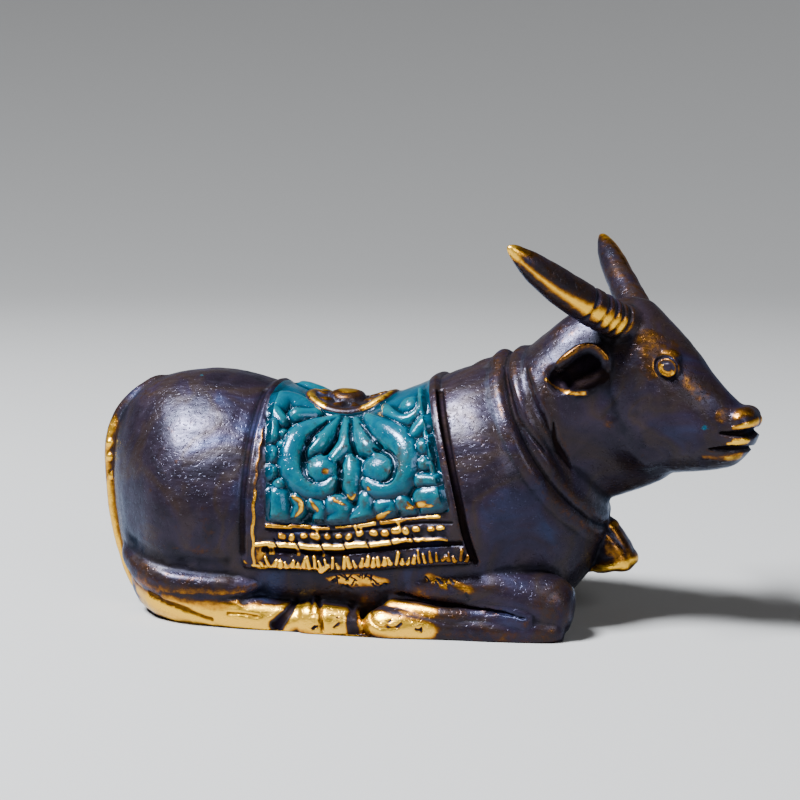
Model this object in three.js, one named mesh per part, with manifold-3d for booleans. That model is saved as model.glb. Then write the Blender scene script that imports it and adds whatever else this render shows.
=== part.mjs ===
// A small cast brass Nandi: the bull lies with its legs folded beside it, its head lifted and turned a little
// to its right, with a saddle cloth over its back, a collar and a bell. One casting, so it is one solid.
// Millimetres, +Z up, +X towards the muzzle. The bull's right side is at -Y.
import * as THREE from "three";
import { mergeVertices } from "three/addons/utils/BufferGeometryUtils.js";
import Module from "manifold-3d";

// Overall size. The free forms are drawn in units of which the figure is 140 long.
const LENGTH = 140;
const UNIT = LENGTH / 140;

// Pose
const HEAD_TURN = 14; // degrees, towards -Y
const NECK_PIVOT_X = 20 * UNIT; // the head turns about an upright line here
const TURN_FROM_X = 14 * UNIT; // the neck starts to turn here
const TURN_TO_X = 46 * UNIT; // and the head has its full turn here
const TURN_FROM_Z = 20 * UNIT; // the chest and the bell below this don't turn
const TURN_TO_Z = 42 * UNIT;
const FAR_LEG_SHARE = 0.82; // the left foreleg is drawn back: its length as a share of the right one's

// Swells of the trunk, as shares of its width
const HAUNCH_SWELL = 0.15;
const SHOULDER_SWELL = 0.07;

// Head
const HORN_REACH = new THREE.Vector3(-17.6, -22.6, 16.8).multiplyScalar(UNIT);
const HORN_RADIUS = 3.8 * UNIT;
const LEFT_HORN_SHARE = 0.84; // the left horn is slimmer
const HORN_SAG = 1.2 * UNIT; // how far the middle of a horn hangs below a straight line
const HORN_ROOT_SHARE = 0.12; // how deep a horn is set in the head, as a share of its reach
const EAR_LENGTH = 13 * UNIT;
const EAR_HEIGHT = 10 * UNIT;
const EAR_THICKNESS = 4.4 * UNIT;
const EYE_RADIUS = 1.9 * UNIT;
const EYELID_SHARE = 1.45; // the raised lids round the eye, as a share of its radius
const MOUTH_GAP = 0.9 * UNIT;

// Collar and bell
const COLLAR_WIDTH = 5.6 * UNIT;
const COLLAR_LIFT = 1.1 * UNIT; // how far it stands out of the neck
const BELL_HEIGHT = 11.5 * UNIT;
const BELL_RADIUS = 5 * UNIT;

// Saddle cloth, measured along the back (x) and round it from the spine (s)
const CLOTH_LIFT = 0.9 * UNIT;
const CLOTH_ROUND = 25 * UNIT; // s over this is the turn round the trunk's section
const CLOTH_REAR_X = -33 * UNIT;
const CLOTH_FRONT_X = 2.5 * UNIT; // front edge at the spine
const CLOTH_FLARE = 11.5 * UNIT; // how much further forward the front edge runs at the hem
const HEM_RISE = 1.3 * UNIT; // the hem's middle hangs this much higher than its rear end
const HEM_FRONT_DROP = 0.65 * UNIT; // and its front end this much lower
const BORDER_WIDTH = 4 * UNIT; // along the rear edge
const FRONT_BORDER_WIDTH = 1.8 * UNIT;
const PANEL_FOOT_S = 38.5 * UNIT; // foot of the scroll panel
const BEAD_BAND = 4 * UNIT; // height of the band of beads below the panel
const FRINGE_BAND = 5 * UNIT;
const BEAD_RADIUS = 1.15 * UNIT;
const BEAD_COUNT = 14;
const TASSEL_COUNT = 14;
const RIB = 0.7 * UNIT; // half the width of the raised lines, and their height
const SCROLL_WIDTH = 3.4 * UNIT; // of the scrolls and leaves where they are widest
const SCROLL_HEIGHT = 1.9 * UNIT;
const VOLUTE_RADIUS = 5.6 * UNIT;
const BOSS_X = -16.5 * UNIT; // middle of the medallion on the spine
const BOSS_RADIUS = 10.4 * UNIT;
const KNOB_X = -17.6 * UNIT; // the knob sits a little behind the medallion's middle
const KNOB_RADIUS = 3.7 * UNIT;
const KNOB_LIFT = 2.2 * UNIT;
const PETAL_COUNT = 9;
const PETAL_LIFT = 1.5 * UNIT;

// Tail
const TAIL_RADIUS = 1.9 * UNIT;

const wasm = await Module();
wasm.setup();

const v3 = (x, y, z) => new THREE.Vector3(x, y, z);
const radians = THREE.MathUtils.degToRad;
const UP = v3(0, 0, 1);
const FORWARD = v3(1, 0, 0);
const smooth = (low, high, value) => THREE.MathUtils.smoothstep(value, low, high);

/** Reads a table smoothly: the first number of each row is where the row stands. */
function readRows(rows, at) {
  let i = 0;
  while (i < rows.length - 2 && at > rows[i + 1][0]) i += 1;
  const [a, b] = [rows[i], rows[i + 1]];
  const before = rows[i - 1] ?? a;
  const after = rows[i + 2] ?? b;
  const span = b[0] - a[0];
  const t = THREE.MathUtils.clamp((at - a[0]) / span, 0, 1);
  return a.map((value, k) => {
    const slopeA = ((b[k] - before[k]) / (b[0] - before[0])) * span;
    const slopeB = ((after[k] - value) / (after[0] - a[0])) * span;
    const t2 = t * t;
    const t3 = t2 * t;
    const nearA = (2 * t3 - 3 * t2 + 1) * value + (t3 - 2 * t2 + t) * slopeA;
    const nearB = (3 * t2 - 2 * t3) * b[k] + (t3 - t2) * slopeB;
    return nearA + nearB;
  });
}

/** A closed body whose corners are all joined, from any three.js geometry. */
function welded(geometry) {
  geometry.deleteAttribute("normal");
  geometry.deleteAttribute("uv");
  return mergeVertices(geometry, 1e-4);
}

/** A body from a list of coordinates and a list of corner numbers, three to a triangle. */
function meshed(positions, index) {
  const geometry = new THREE.BufferGeometry();
  geometry.setAttribute("position", new THREE.Float32BufferAttribute(positions, 3));
  geometry.setIndex(index);
  return geometry;
}

/** Moves every corner of a geometry to where place(corner, u, v) says. */
function mapped(geometry, place) {
  const { position, uv } = geometry.attributes;
  for (let i = 0; i < position.count; i += 1) {
    const p = place(v3().fromBufferAttribute(position, i), uv.getX(i), uv.getY(i));
    position.setXYZ(i, p.x, p.y, p.z);
  }
  return welded(geometry);
}

/**
 * A rounded form drawn out along a spine. Each station is [x, y, z, half height, half width], in units. The
 * squares of the half sizes are blended, so a form that closes to nothing at an end is round there.
 */
function mass(stations, { around = 12, along = 12, up = UP, boxy = 2, egg = 0, spine } = {}) {
  const rows = stations.map(([x, y, z, high, wide], i) => [
    i, x * UNIT, y * UNIT, z * UNIT, (high * UNIT) ** 2, (wide * UNIT) ** 2,
  ]);
  const last = rows.length - 1;
  const at = (t) => readRows(rows, t * last);
  const centre = (t) => v3(...at(THREE.MathUtils.clamp(t, 0, 1)).slice(1, 4));
  const round = (value) => Math.sign(value) * Math.abs(value) ** (2 / boxy);
  return mapped(new THREE.SphereGeometry(1, around, along), (corner, u, v) => {
    const w = 1 - v;
    const t = (w + 0.5 - 0.5 * Math.cos(Math.PI * w)) / 2; // the rings stand closer near the ends
    const heading = spine ?? centre(t + 0.01).sub(centre(t - 0.01)).normalize();
    const side = v3().crossVectors(heading, up).normalize();
    const over = v3().crossVectors(side, heading);
    const row = at(t);
    const turn = u * 2 * Math.PI;
    const closed = w === 0 || w === 1; // at its two ends the form is a point
    const high = closed ? 0 : Math.sqrt(Math.max(row[4], 0));
    const wide = closed ? 0 : Math.sqrt(Math.max(row[5], 0)) * (1 + egg * Math.sin(turn));
    return centre(t)
      .addScaledVector(side, wide * round(Math.cos(turn)))
      .addScaledVector(over, high * round(Math.sin(turn)));
  });
}

/** An ellipsoid, its middle and half sizes in units, tilted about Y by a number of degrees. */
function ball([x, y, z], [rx, ry, rz], { tilt = 0, around = 12, along = 8 } = {}) {
  const geometry = new THREE.SphereGeometry(1, around, along);
  geometry.rotateX(Math.PI / 2);
  geometry.scale(rx * UNIT, ry * UNIT, rz * UNIT);
  geometry.rotateY(radians(tilt));
  return welded(geometry.translate(x * UNIT, y * UNIT, z * UNIT));
}

/** The same form on the other side of the bull. */
function mirrored(geometry) {
  const other = geometry.clone().scale(1, -1, 1);
  const { array } = other.index;
  for (let i = 0; i < array.length; i += 3) [array[i], array[i + 1]] = [array[i + 1], array[i]];
  return other;
}

const pair = (geometry) => [geometry, mirrored(geometry)];

function solidOf(geometry) {
  const vertProperties = Float32Array.from(geometry.attributes.position.array);
  const triVerts = Uint32Array.from(geometry.index.array);
  return new wasm.Manifold(new wasm.Mesh({ numProp: 3, vertProperties, triVerts }));
}

const joined = (geometries) => geometries.map(solidOf).reduce((whole, piece) => whole.add(piece));

// Trunk: [x, height of the back, height of the belly, half width], in units
const TRUNK = [
  [-68.6, 32, 32, 0],
  [-67.8, 38.4, 21, 7.4],
  [-64.8, 43.6, 7, 13],
  [-60.4, 47.4, -2, 17.6],
  [-53, 49.6, -4, 22.2],
  [-44, 49.9, -5, 23.4],
  [-34, 47.8, -5, 23.6],
  [-24, 44.4, -5, 23.6],
  [-14, 43.4, -5, 23.6],
  [-4, 46.8, -5, 23.6],
  [8, 51.8, -4, 23.6],
  [18, 52.8, -1, 22],
  [28, 50, 3, 17.4],
  [34, 43, 9, 11.6],
  [37.2, 34, 17, 6.2],
  [38.4, 26, 26, 0],
];
const TRUNK_ROWS = TRUNK.map(([x, top, bottom, wide]) => [
  x * UNIT, ((top + bottom) / 2) * UNIT, (((top - bottom) / 2) * UNIT) ** 2, (wide * UNIT) ** 2,
]);
const TRUNK_BOXY = 2.25; // 2 would be an ellipse, more is squarer
const TRUNK_EGG = -0.1; // the section is this much narrower at the back than in the middle
const HAUNCH = { x: -45 * UNIT, z: 22 * UNIT, length: 17 * UNIT, height: 19 * UNIT };
const SHOULDER = { x: 19 * UNIT, z: 26 * UNIT, length: 11 * UNIT, height: 18 * UNIT };

/** How much of a swell there is at a place on the flank: 1 at its middle, fading to nothing. */
function swellAt(swell, x, z) {
  const [along, up] = [(x - swell.x) / swell.length, (z - swell.z) / swell.height];
  return Math.exp(-(along ** 2) - up ** 2);
}

/** A point on the trunk at a turn round its section, from the right flank over the spine, lifted off it. */
function trunkPoint(x, turn, lift = 0) {
  const [, middle, high2, wide2] = readRows(TRUNK_ROWS, x);
  const round = (value) => Math.sign(value) * Math.abs(value) ** (2 / TRUNK_BOXY);
  const z = middle + (Math.sqrt(Math.max(high2, 0)) + lift) * round(Math.sin(turn));
  const swell = 1 + HAUNCH_SWELL * swellAt(HAUNCH, x, z) + SHOULDER_SWELL * swellAt(SHOULDER, x, z);
  const wide = Math.sqrt(Math.max(wide2, 0)) * swell * (1 + TRUNK_EGG * Math.sin(turn)) + lift;
  return v3(x, -wide * round(Math.cos(turn)), z);
}

function trunk() {
  const rings = TRUNK_ROWS.length - 1;
  return mapped(new THREE.SphereGeometry(1, 20, 22), (corner, u, v) => {
    const w = 1 - v;
    const t = (0.6 * w + 0.4 * (0.5 - 0.5 * Math.cos(Math.PI * w))) * rings;
    const i = Math.min(Math.floor(t), rings - 1);
    const x = THREE.MathUtils.lerp(TRUNK_ROWS[i][0], TRUNK_ROWS[i + 1][0], t - i);
    if (w === 0 || w === 1) return v3(x, 0, readRows(TRUNK_ROWS, x)[1]);
    return trunkPoint(x, u * 2 * Math.PI);
  });
}

function hindLegs() {
  const foot = mass(
    [
      [-58.8, -9, 8.6, 0, 0],
      [-56.6, -13.2, 8.2, 7.6, 5.6],
      [-52.2, -18.2, 6.2, 7, 5.8],
      [-46, -21.6, 4.4, 5.6, 5.2],
      [-36, -23, 2.8, 4.3, 4.3],
      [-28, -23.2, 1.8, 3.7, 3.8],
      [-22, -23.2, 1.4, 3.4, 3.5],
      [-20, -23.2, 1.4, 0, 0],
    ],
    { around: 8, along: 10 },
  );
  const hoof = mass(
    [
      [-22.2, -23.2, 1.6, 0, 0],
      [-20.8, -23.2, 1.6, 3.9, 4.2],
      [-15, -23, 1.4, 3.9, 4.4],
      [-10.6, -22.6, 0.8, 3.6, 3.8],
      [-9.4, -22.4, 0.8, 0, 0],
    ],
    { around: 8, along: 5, boxy: 2.8 },
  );
  return [foot, hoof].flatMap(pair);
}

function forelegs() {
  const hoofX = -9;
  const forearm = [
    [-5, -15, 9.6, 0, 0],
    [0, -17, 9.6, 4.4, 5.6],
    [8, -18, 9.4, 5.2, 6.2],
    [18, -18.4, 8.6, 5.6, 6.2],
    [24, -18.6, 7, 6.2, 6.2],
    [28.8, -18.6, 5.8, 6.6, 6],
    [32.2, -18.6, 5.2, 4.8, 4.4],
    [33.6, -18.6, 5, 0, 0],
  ];
  const shin = [
    [31.8, -20.5, 2, 0, 0],
    [29, -21.4, 1.6, 3.2, 3.4],
    [20, -22.8, 1.4, 3.5, 3.4],
    [8, -23.4, 1.6, 3.6, 3.4],
    [0, -23.8, 1.8, 4, 4],
    [-5, -23.8, 1.6, 3.9, 4.2],
    [hoofX, -23.6, 1.4, 0, 0],
  ];
  const drawnBack = ([x, ...rest]) => [hoofX + (x - hoofX) * FAR_LEG_SHARE, ...rest];
  const detail = { around: 8, along: 9 };
  return [forearm, shin].flatMap((leg) => [mass(leg, detail), mirrored(mass(leg.map(drawnBack), detail))]);
}

function neckAndHead() {
  const neck = mass(
    [
      [3, 0, 38, 0, 0],
      [9, 0, 38.6, 13.4, 9],
      [14, 0, 39.2, 15.2, 11.6],
      [20, 0, 40.2, 15.6, 16.4],
      [26, 0, 42.2, 18, 16.2],
      [32, 0, 44.4, 20.2, 13.6],
      [38, 0, 45.8, 20.6, 11],
      [45, 0, 47.6, 20, 9.2],
      [50, 0, 46.6, 16.4, 8.2],
      [55, 0, 42, 0, 0],
    ],
    { around: 12, along: 10, egg: -0.1, spine: FORWARD },
  );
  const head = mass(
    [
      [36, 0, 52, 0, 0],
      [40, 0, 51, 13, 8.6],
      [46, 0, 49.6, 18, 10],
      [51, 0, 47.6, 16, 9.6],
      [56, 0, 45.4, 13.2, 8.2],
      [60.8, 0, 42.9, 9.9, 6.8],
      [65, 0, 41.4, 7, 5.6],
      [67.6, 0, 41.8, 4.8, 5.2],
      [69.4, 0, 42.4, 3, 4],
      [70.2, 0, 42.6, 0, 0],
    ],
    { around: 12, along: 13, egg: -0.04, spine: FORWARD },
  );
  const poll = ball([43, 0, 60.5], [6, 7.4, 7.2], { around: 10, along: 6 });
  const nose = ball([67.4, 0, 44.2], [3, 5.2, 2.8], { around: 10, along: 6 });
  const chin = ball([62.6, 0, 36.6], [4, 4.2, 2.8], { around: 10, along: 6 });
  return [neck, head, poll, nose, chin];
}

const EYE = [54, -7.5, 54.6].map((value) => value * UNIT);
const EYE_SLOPE = radians(24); // the eye leans with the forehead
const EYE_OUT = radians(-22); // and faces a little forward

function eyes() {
  const place = (geometry) => welded(geometry.rotateY(EYE_SLOPE).rotateZ(EYE_OUT).translate(...EYE));
  const eyeball = new THREE.SphereGeometry(EYE_RADIUS, 8, 4).scale(1, 0.62, 0.86);
  const lids = new THREE.SphereGeometry(EYE_RADIUS * EYELID_SHARE, 8, 4).scale(1, 0.3, 0.8);
  return [eyeball, lids].map(place).flatMap(pair);
}

function horn(radius) {
  const root = v3(44.7, -4.4, 62.1).multiplyScalar(UNIT);
  const profile = [0.94, 1, 1.02, 1, 0.96, 0.88, 0.74, 0.5, 0];
  const last = profile.length - 1;
  const stations = profile.map((share, i) => {
    const t = 1 - (1 - i / last) ** 1.15;
    const p = root.clone().addScaledVector(HORN_REACH, t);
    p.z -= HORN_SAG * Math.sin(Math.PI * t);
    return [...p.toArray(), share * radius, share * radius].map((value) => value / UNIT);
  });
  const inside = root.clone().addScaledVector(HORN_REACH, -HORN_ROOT_SHARE).divideScalar(UNIT);
  return mass([[...inside.toArray(), 0, 0], ...stations], { around: 8, along: 9 });
}

const horns = () => [horn(HORN_RADIUS), mirrored(horn(HORN_RADIUS * LEFT_HORN_SHARE))];

function ears() {
  const root = v3(42, -7.6, 54.6).multiplyScalar(UNIT);
  const reach = v3(-0.86, -0.5, -0.1).normalize();
  const profile = [[0, 0], [0.06, 0.6], [0.25, 0.96], [0.5, 0.98], [0.75, 0.66], [0.92, 0.28], [1, 0]];
  const leaf = (scale, thick, shift, detail) =>
    mass(
      profile.map(([t, share]) => {
        const p = root.clone().addScaledVector(reach, t * EAR_LENGTH * scale).add(shift);
        const [high, wide] = [(share * EAR_HEIGHT * scale) / 2, (Math.sqrt(share) * thick) / 2];
        return [...p.toArray(), high, wide].map((size) => size / UNIT);
      }),
      detail,
    );
  const whole = leaf(1, EAR_THICKNESS, v3(), { around: 8, along: 8 });
  const hollow = leaf(0.76, EAR_THICKNESS, v3(-1.5, -2.3, 0).multiplyScalar(UNIT), { around: 6, along: 6 });
  return { add: pair(whole), cut: pair(hollow) };
}

function mouth() {
  const slit = ball([70, 0, 39], [6.4, 9, MOUTH_GAP / UNIT / 2], { tilt: 8, around: 10, along: 4 });
  const nostril = pair(ball([70.4, -4.2, 42.6], [2.6, 1.6, 0.7], { tilt: 14, around: 6, along: 4 }));
  return [slit, ...nostril];
}

/** Distance from a point inside a solid's mesh to its skin, along a direction. */
function reachOf(mesh, from, direction) {
  const ray = new THREE.Raycaster(from, direction);
  return Math.max(...ray.intersectObject(mesh).map((hit) => hit.distance), 0);
}

/** The strap of the collar: it runs from the crest of the neck down both sides to the chest. */
function collar(flesh) {
  const crest = v3(18.6, 0, 54).multiplyScalar(UNIT);
  const chest = v3(38.4, 0, 20).multiplyScalar(UNIT);
  const middle = crest.clone().add(chest).multiplyScalar(0.5);
  const rise = crest.clone().sub(chest).normalize();
  const ahead = v3().crossVectors(v3(0, 1, 0), rise).normalize();
  const sag = 3 * UNIT; // the strap hangs back of a straight line by this
  const steps = 20;
  const section = [[-0.5, -1.6], [-0.36, 0.9], [0, 0.55], [0.36, 1], [0.5, -1.6]];
  const positions = [];
  const index = [];
  for (let i = 0; i < steps; i += 1) {
    const turn = (i / steps) * 2 * Math.PI;
    const out = rise.clone().multiplyScalar(Math.cos(turn)).addScaledVector(v3(0, -1, 0), Math.sin(turn));
    const from = middle.clone().addScaledVector(ahead, -sag * Math.abs(Math.sin(turn)));
    const reach = reachOf(flesh, from, out);
    const narrow = 1 - 0.5 * smooth(0, -1, Math.cos(turn)); // it narrows towards the bell
    for (const [across, lift] of section) {
      const p = from.clone().addScaledVector(out, reach + lift * COLLAR_LIFT);
      p.addScaledVector(ahead, across * COLLAR_WIDTH * narrow);
      positions.push(p.x, p.y, p.z);
    }
    section.forEach((_, k) => {
      const [a, b] = [i * section.length + k, i * section.length + ((k + 1) % section.length)];
      const [c, d] = [a, b].map((n) => (n + section.length) % (steps * section.length));
      index.push(a, d, b, a, c, d);
    });
  }
  return meshed(positions, index);
}

/** The bell hangs forward from the collar's lowest point and leans on the chest. */
function bell() {
  const profile = [
    [0, 0], [0.8, 0.03], [1, 0.14], [0.98, 0.26], [0.84, 0.46], [0.62, 0.72], [0.42, 0.9], [0, 1],
  ].map(([r, h]) => new THREE.Vector2(r * BELL_RADIUS, h * BELL_HEIGHT));
  const form = new THREE.LatheGeometry(profile, 10).rotateX(Math.PI / 2);
  form.rotateY(radians(-12));
  return welded(form.translate(39.6 * UNIT, 0, 10 * UNIT));
}

const BEADS_FOOT_S = PANEL_FOOT_S + BEAD_BAND;
const FRINGE_FOOT_S = BEADS_FOOT_S + FRINGE_BAND;
const SINK = 2 * UNIT; // how deep the cloth is rooted in the body
const frontEdge = (s) => CLOTH_FRONT_X + CLOTH_FLARE * (Math.abs(s) / FRINGE_FOOT_S) ** 1.5;

/** How far the hem hangs below its place in the drawing: above it in the middle, below it at the front. */
function hemDrop(x) {
  const along = (2 * x - CLOTH_REAR_X - frontEdge(FRINGE_FOOT_S)) / (frontEdge(FRINGE_FOOT_S) - CLOTH_REAR_X);
  return HEM_RISE * (along ** 2 - 1) + (HEM_FRONT_DROP * (along ** 2 + along)) / 2;
}

/** A point on the cloth, s round the back from the spine towards the right side, lifted off the cloth. */
function onCloth(x, s, lift = 0) {
  const hung = s + Math.sign(s) * hemDrop(x) * smooth(PANEL_FOOT_S / 2, PANEL_FOOT_S, Math.abs(s));
  return trunkPoint(x, Math.PI / 2 - hung / CLOTH_ROUND, CLOTH_LIFT + lift);
}

/** A sheet on the body: columns [place as a function of s, lift], rows [s, lift]. The higher lift counts. */
function sheet(columns, rows) {
  const box = new THREE.BoxGeometry(1, 1, 1, columns.length - 1, rows.length - 1, 1);
  return mapped(box, (corner) => {
    const [place, columnLift] = columns[Math.round((corner.x + 0.5) * (columns.length - 1))];
    const [s, rowLift] = rows[Math.round((corner.y + 0.5) * (rows.length - 1))];
    return onCloth(place(s), s, corner.z < 0 ? Math.max(columnLift, rowLift) : -SINK);
  });
}

/** Three columns or rows that make a raised line: its feet and its ridge. */
const line = (at) => [[at - RIB, 0], [at, RIB], [at + RIB, 0]];

/** The cloth, with the raised lines round the scroll panel and over and under the band of beads. */
function cloth() {
  const rearLines = [...line(RIB), ...line(BORDER_WIDTH)];
  const frontLines = [...line(FRONT_BORDER_WIDTH).reverse(), [0, 0]];
  const rear = rearLines.map(([d, lift]) => [() => CLOTH_REAR_X + d, lift]);
  const front = frontLines.map(([d, lift]) => [(s) => frontEdge(s) - d, lift]);
  const between = (share) => [(s) => THREE.MathUtils.lerp(CLOTH_REAR_X, frontEdge(s), share), 0];
  const middle = [between(0.35), between(0.65)];
  const panelRows = [1, 2, 3, 4, 5].map((i) => [(i / 6) * PANEL_FOOT_S, 0]);
  const side = [...panelRows, ...line(PANEL_FOOT_S), ...line(BEADS_FOOT_S)];
  const otherSide = side.map(([s, lift]) => [-s, lift]).reverse();
  return sheet([...rear, ...middle, ...front], [...otherSide, [0, 0], ...side]);
}

/** Place along the cloth at a share of the way between its two borders. */
const across = (s, share) =>
  THREE.MathUtils.lerp(CLOTH_REAR_X + BORDER_WIDTH, frontEdge(s) - FRONT_BORDER_WIDTH, share);

/** The fringe of one side: a row of tassels, each a ridge between two furrows. */
function fringe(tassels) {
  const furrow = -CLOTH_LIFT * 0.6;
  const columns = Array.from({ length: 2 * tassels + 1 }, (_, i) => [
    (s) => THREE.MathUtils.lerp(CLOTH_REAR_X, frontEdge(s), i / (2 * tassels)),
    i % 2 ? RIB * 0.6 : furrow,
  ]);
  return sheet(columns, [[BEADS_FOOT_S, -SINK], [FRINGE_FOOT_S, -SINK]]);
}

/** A faceted knob on the cloth: half as long along the back as given, and half as high round it. */
function stud(place, halfLong, halfHigh) {
  const form = new THREE.OctahedronGeometry(1, 0).scale(halfLong, Math.min(halfLong, halfHigh), halfHigh);
  return welded(form.translate(...place.toArray()));
}

function beads() {
  const s = (PANEL_FOOT_S + BEADS_FOOT_S) / 2;
  return Array.from({ length: BEAD_COUNT }, (_, i) => {
    const place = onCloth(across(s, (i + 0.5) / BEAD_COUNT), s, -BEAD_RADIUS * 0.2);
    return stud(place, BEAD_RADIUS, BEAD_RADIUS);
  });
}

/** A raised band on the cloth, flat on top with sloping sides, through points [x, s, share of its size]. */
function band(points) {
  const sides = 0.02; // the sides start to slope just above the cloth
  const section = [[-0.5, -SINK], [-0.5, sides], [-0.2, 1], [0.2, 1], [0.5, sides], [0.5, -SINK]];
  const last = points.length - 1;
  const positions = [];
  const index = [];
  points.forEach(([x, s, share], i) => {
    const [before, after] = [points[Math.max(i - 1, 0)], points[Math.min(i + 1, last)]];
    const [dx, ds] = [after[0] - before[0], after[1] - before[1]];
    const length = Math.hypot(dx, ds);
    section.forEach(([side, rise], k) => {
      const wide = side * share * SCROLL_WIDTH;
      const lift = rise > 0 ? rise * share * SCROLL_HEIGHT : rise;
      positions.push(...onCloth(x - (ds / length) * wide, s + (dx / length) * wide, lift).toArray());
      const [a, b] = [i * section.length + k, i * section.length + ((k + 1) % section.length)];
      if (i < last) index.push(a, b, b + section.length, a, b + section.length, a + section.length);
    });
  });
  for (let k = 1; k < section.length - 1; k += 1) {
    index.push(0, k + 1, k);
    const end = last * section.length;
    index.push(end, end + k, end + k + 1);
  }
  return meshed(positions, index);
}

/** Points of a curl: it winds from one angle to another, in degrees, round a centre at [x, s]. */
function curl([x, s], from, to, radiusFrom, radiusTo, steps, thick) {
  return Array.from({ length: steps + 1 }, (_, i) => {
    const t = i / steps;
    const angle = radians(THREE.MathUtils.lerp(from, to, t));
    const radius = THREE.MathUtils.lerp(radiusFrom, radiusTo, t);
    const share = THREE.MathUtils.lerp(thick[0], thick[1], t);
    return [x + radius * Math.cos(angle), s - radius * Math.sin(angle), share];
  });
}

/** The scroll panel of one side. The left side is plainer: it leaves out the corner curls and small forms. */
function scrollPanel(full) {
  const rear = CLOTH_REAR_X + BORDER_WIDTH;
  const foot = PANEL_FOOT_S;
  const fanS = foot * 0.22;
  const frontAt = (s) => frontEdge(s) - FRONT_BORDER_WIDTH - RIB;
  const middle = (rear + frontAt(foot * 0.75)) / 2;
  const pieces = [];
  for (const way of [-1, 1]) {
    const turned = (angle) => (way > 0 ? angle : 180 - angle);
    const edgeAt = (s) => (way > 0 ? frontAt(s) : rear) - way * SCROLL_WIDTH * 0.5;
    const half = Math.abs(edgeAt(foot * 0.7) - middle);
    const centre = [middle + way * half * 0.4, foot * 0.73];
    const lead = [
      [middle + way * half * 0.12, fanS, 0.7],
      [middle + way * half * 0.4, foot * 0.36, 1],
    ];
    const [outer, inner, eye] = [VOLUTE_RADIUS, VOLUTE_RADIUS * 0.62, VOLUTE_RADIUS * 0.3];
    const winding = curl(centre, turned(60), turned(60 - 330), outer, inner, 9, [1.1, 0.7]);
    pieces.push(band([...lead, ...winding]), stud(onCloth(...centre, 0), eye, eye));
    for (const [from, to, reach] of [[0.04, 0.1, 0.58], [0.12, 0.3, 0.52]]) {
      const [x0, x1] = [middle + way * half * from, middle + way * half * to];
      const belly = [(x0 + x1) / 2, (fanS + foot * reach) / 2, 0.9];
      pieces.push(band([[x0, fanS, 0.4], belly, [x1, foot * reach, 0.6]]));
    }
    if (!full) continue;
    const corner = [edgeAt(foot * 0.3) - way * VOLUTE_RADIUS * 0.4, foot * 0.3];
    const [wide, close] = [VOLUTE_RADIUS * 0.5, VOLUTE_RADIUS * 0.4];
    pieces.push(band(curl(corner, turned(200), turned(-80), wide, close, 5, [0.65, 0.6])));
    for (const share of [0.5, 0.64, 0.78]) {
      const s = foot * share;
      const place = onCloth(edgeAt(s) + way * 0.3 * SCROLL_WIDTH * 0.5, s);
      pieces.push(stud(place, SCROLL_WIDTH * 0.5, SCROLL_WIDTH * 0.5 * 1.3));
    }
    const bow = half * 0.12;
    for (const share of [0.2, 0.52, 0.84]) {
      pieces.push(band(curl([middle + way * half * share, foot * 0.95], 165, 15, bow, bow, 2, [0.6, 0.6])));
    }
  }
  pieces.push(band([[middle, foot * 0.68, 0.5], [middle, foot * 0.77, 1.1], [middle, foot * 0.85, 0.8]]));
  return pieces;
}

/** The medallion on the spine: a rosette of petals round a knob. It bends with the back. */
function medallion() {
  const halfSizes = [KNOB_RADIUS, KNOB_RADIUS, KNOB_LIFT].map((size) => size / UNIT);
  const knob = ball([0, 0, 0], halfSizes, { around: 10, along: 6 });
  knob.translate(KNOB_X, 0, onCloth(KNOB_X, 0).z + PETAL_LIFT * 0.3);
  const profile = [[0, PETAL_LIFT], [0.45, PETAL_LIFT * 0.4], [0.9, PETAL_LIFT], [1, -SINK], [0, -SINK]];
  const rosette = new THREE.SphereGeometry(1, 2 * PETAL_COUNT, profile.length - 1);
  const petals = mapped(rosette, (corner, u, v) => {
    const [share, lift] = profile[Math.round((1 - v) * (profile.length - 1))];
    const furrow = share > 0 && Math.round(u * 2 * PETAL_COUNT) % 2;
    const radius = BOSS_RADIUS * share * (furrow ? 0.84 : 1);
    const angle = -u * 2 * Math.PI;
    const [x, s] = [BOSS_X + radius * Math.cos(angle), radius * Math.sin(angle)];
    return onCloth(x, s, furrow ? Math.min(lift, PETAL_LIFT * 0.1) : lift);
  });
  return [knob, petals];
}

/** The tail: a rope down the rump that turns under the right thigh. */
function tail() {
  const thick = TAIL_RADIUS / UNIT;
  const rope = [
    [-56, 0, 47, 0],
    [-60, -0.6, 46.4, thick],
    [-66.4, -2.4, 41.6, thick],
    [-69, -4, 34, thick],
    [-68.6, -5.4, 25, thick],
    [-66.6, -7.4, 15, thick],
    [-62.4, -9.4, 5.4, thick],
    [-59, -11, 1, 0],
  ].map(([x, y, z, r]) => [x, y, z, r, r]);
  return [mass(rope, { around: 5, along: 11, up: FORWARD })];
}

/** Turns the head to the bull's right: a smooth bend that grows along the neck. */
function turnHead(geometry) {
  const { position } = geometry.attributes;
  for (let i = 0; i < position.count; i += 1) {
    const p = v3().fromBufferAttribute(position, i);
    const along = smooth(TURN_FROM_X, TURN_TO_X, p.x + (p.z - TURN_TO_Z) * 0.4);
    const share = along * smooth(TURN_FROM_Z, TURN_TO_Z, p.z);
    p.x -= NECK_PIVOT_X;
    p.applyAxisAngle(UP, -share * radians(HEAD_TURN));
    position.setXYZ(i, p.x + NECK_PIVOT_X, p.y, p.z);
  }
  return geometry;
}

function geometryOf(solid) {
  const mesh = solid.getMesh();
  return meshed(Array.from(mesh.vertProperties), Array.from(mesh.triVerts));
}

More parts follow.
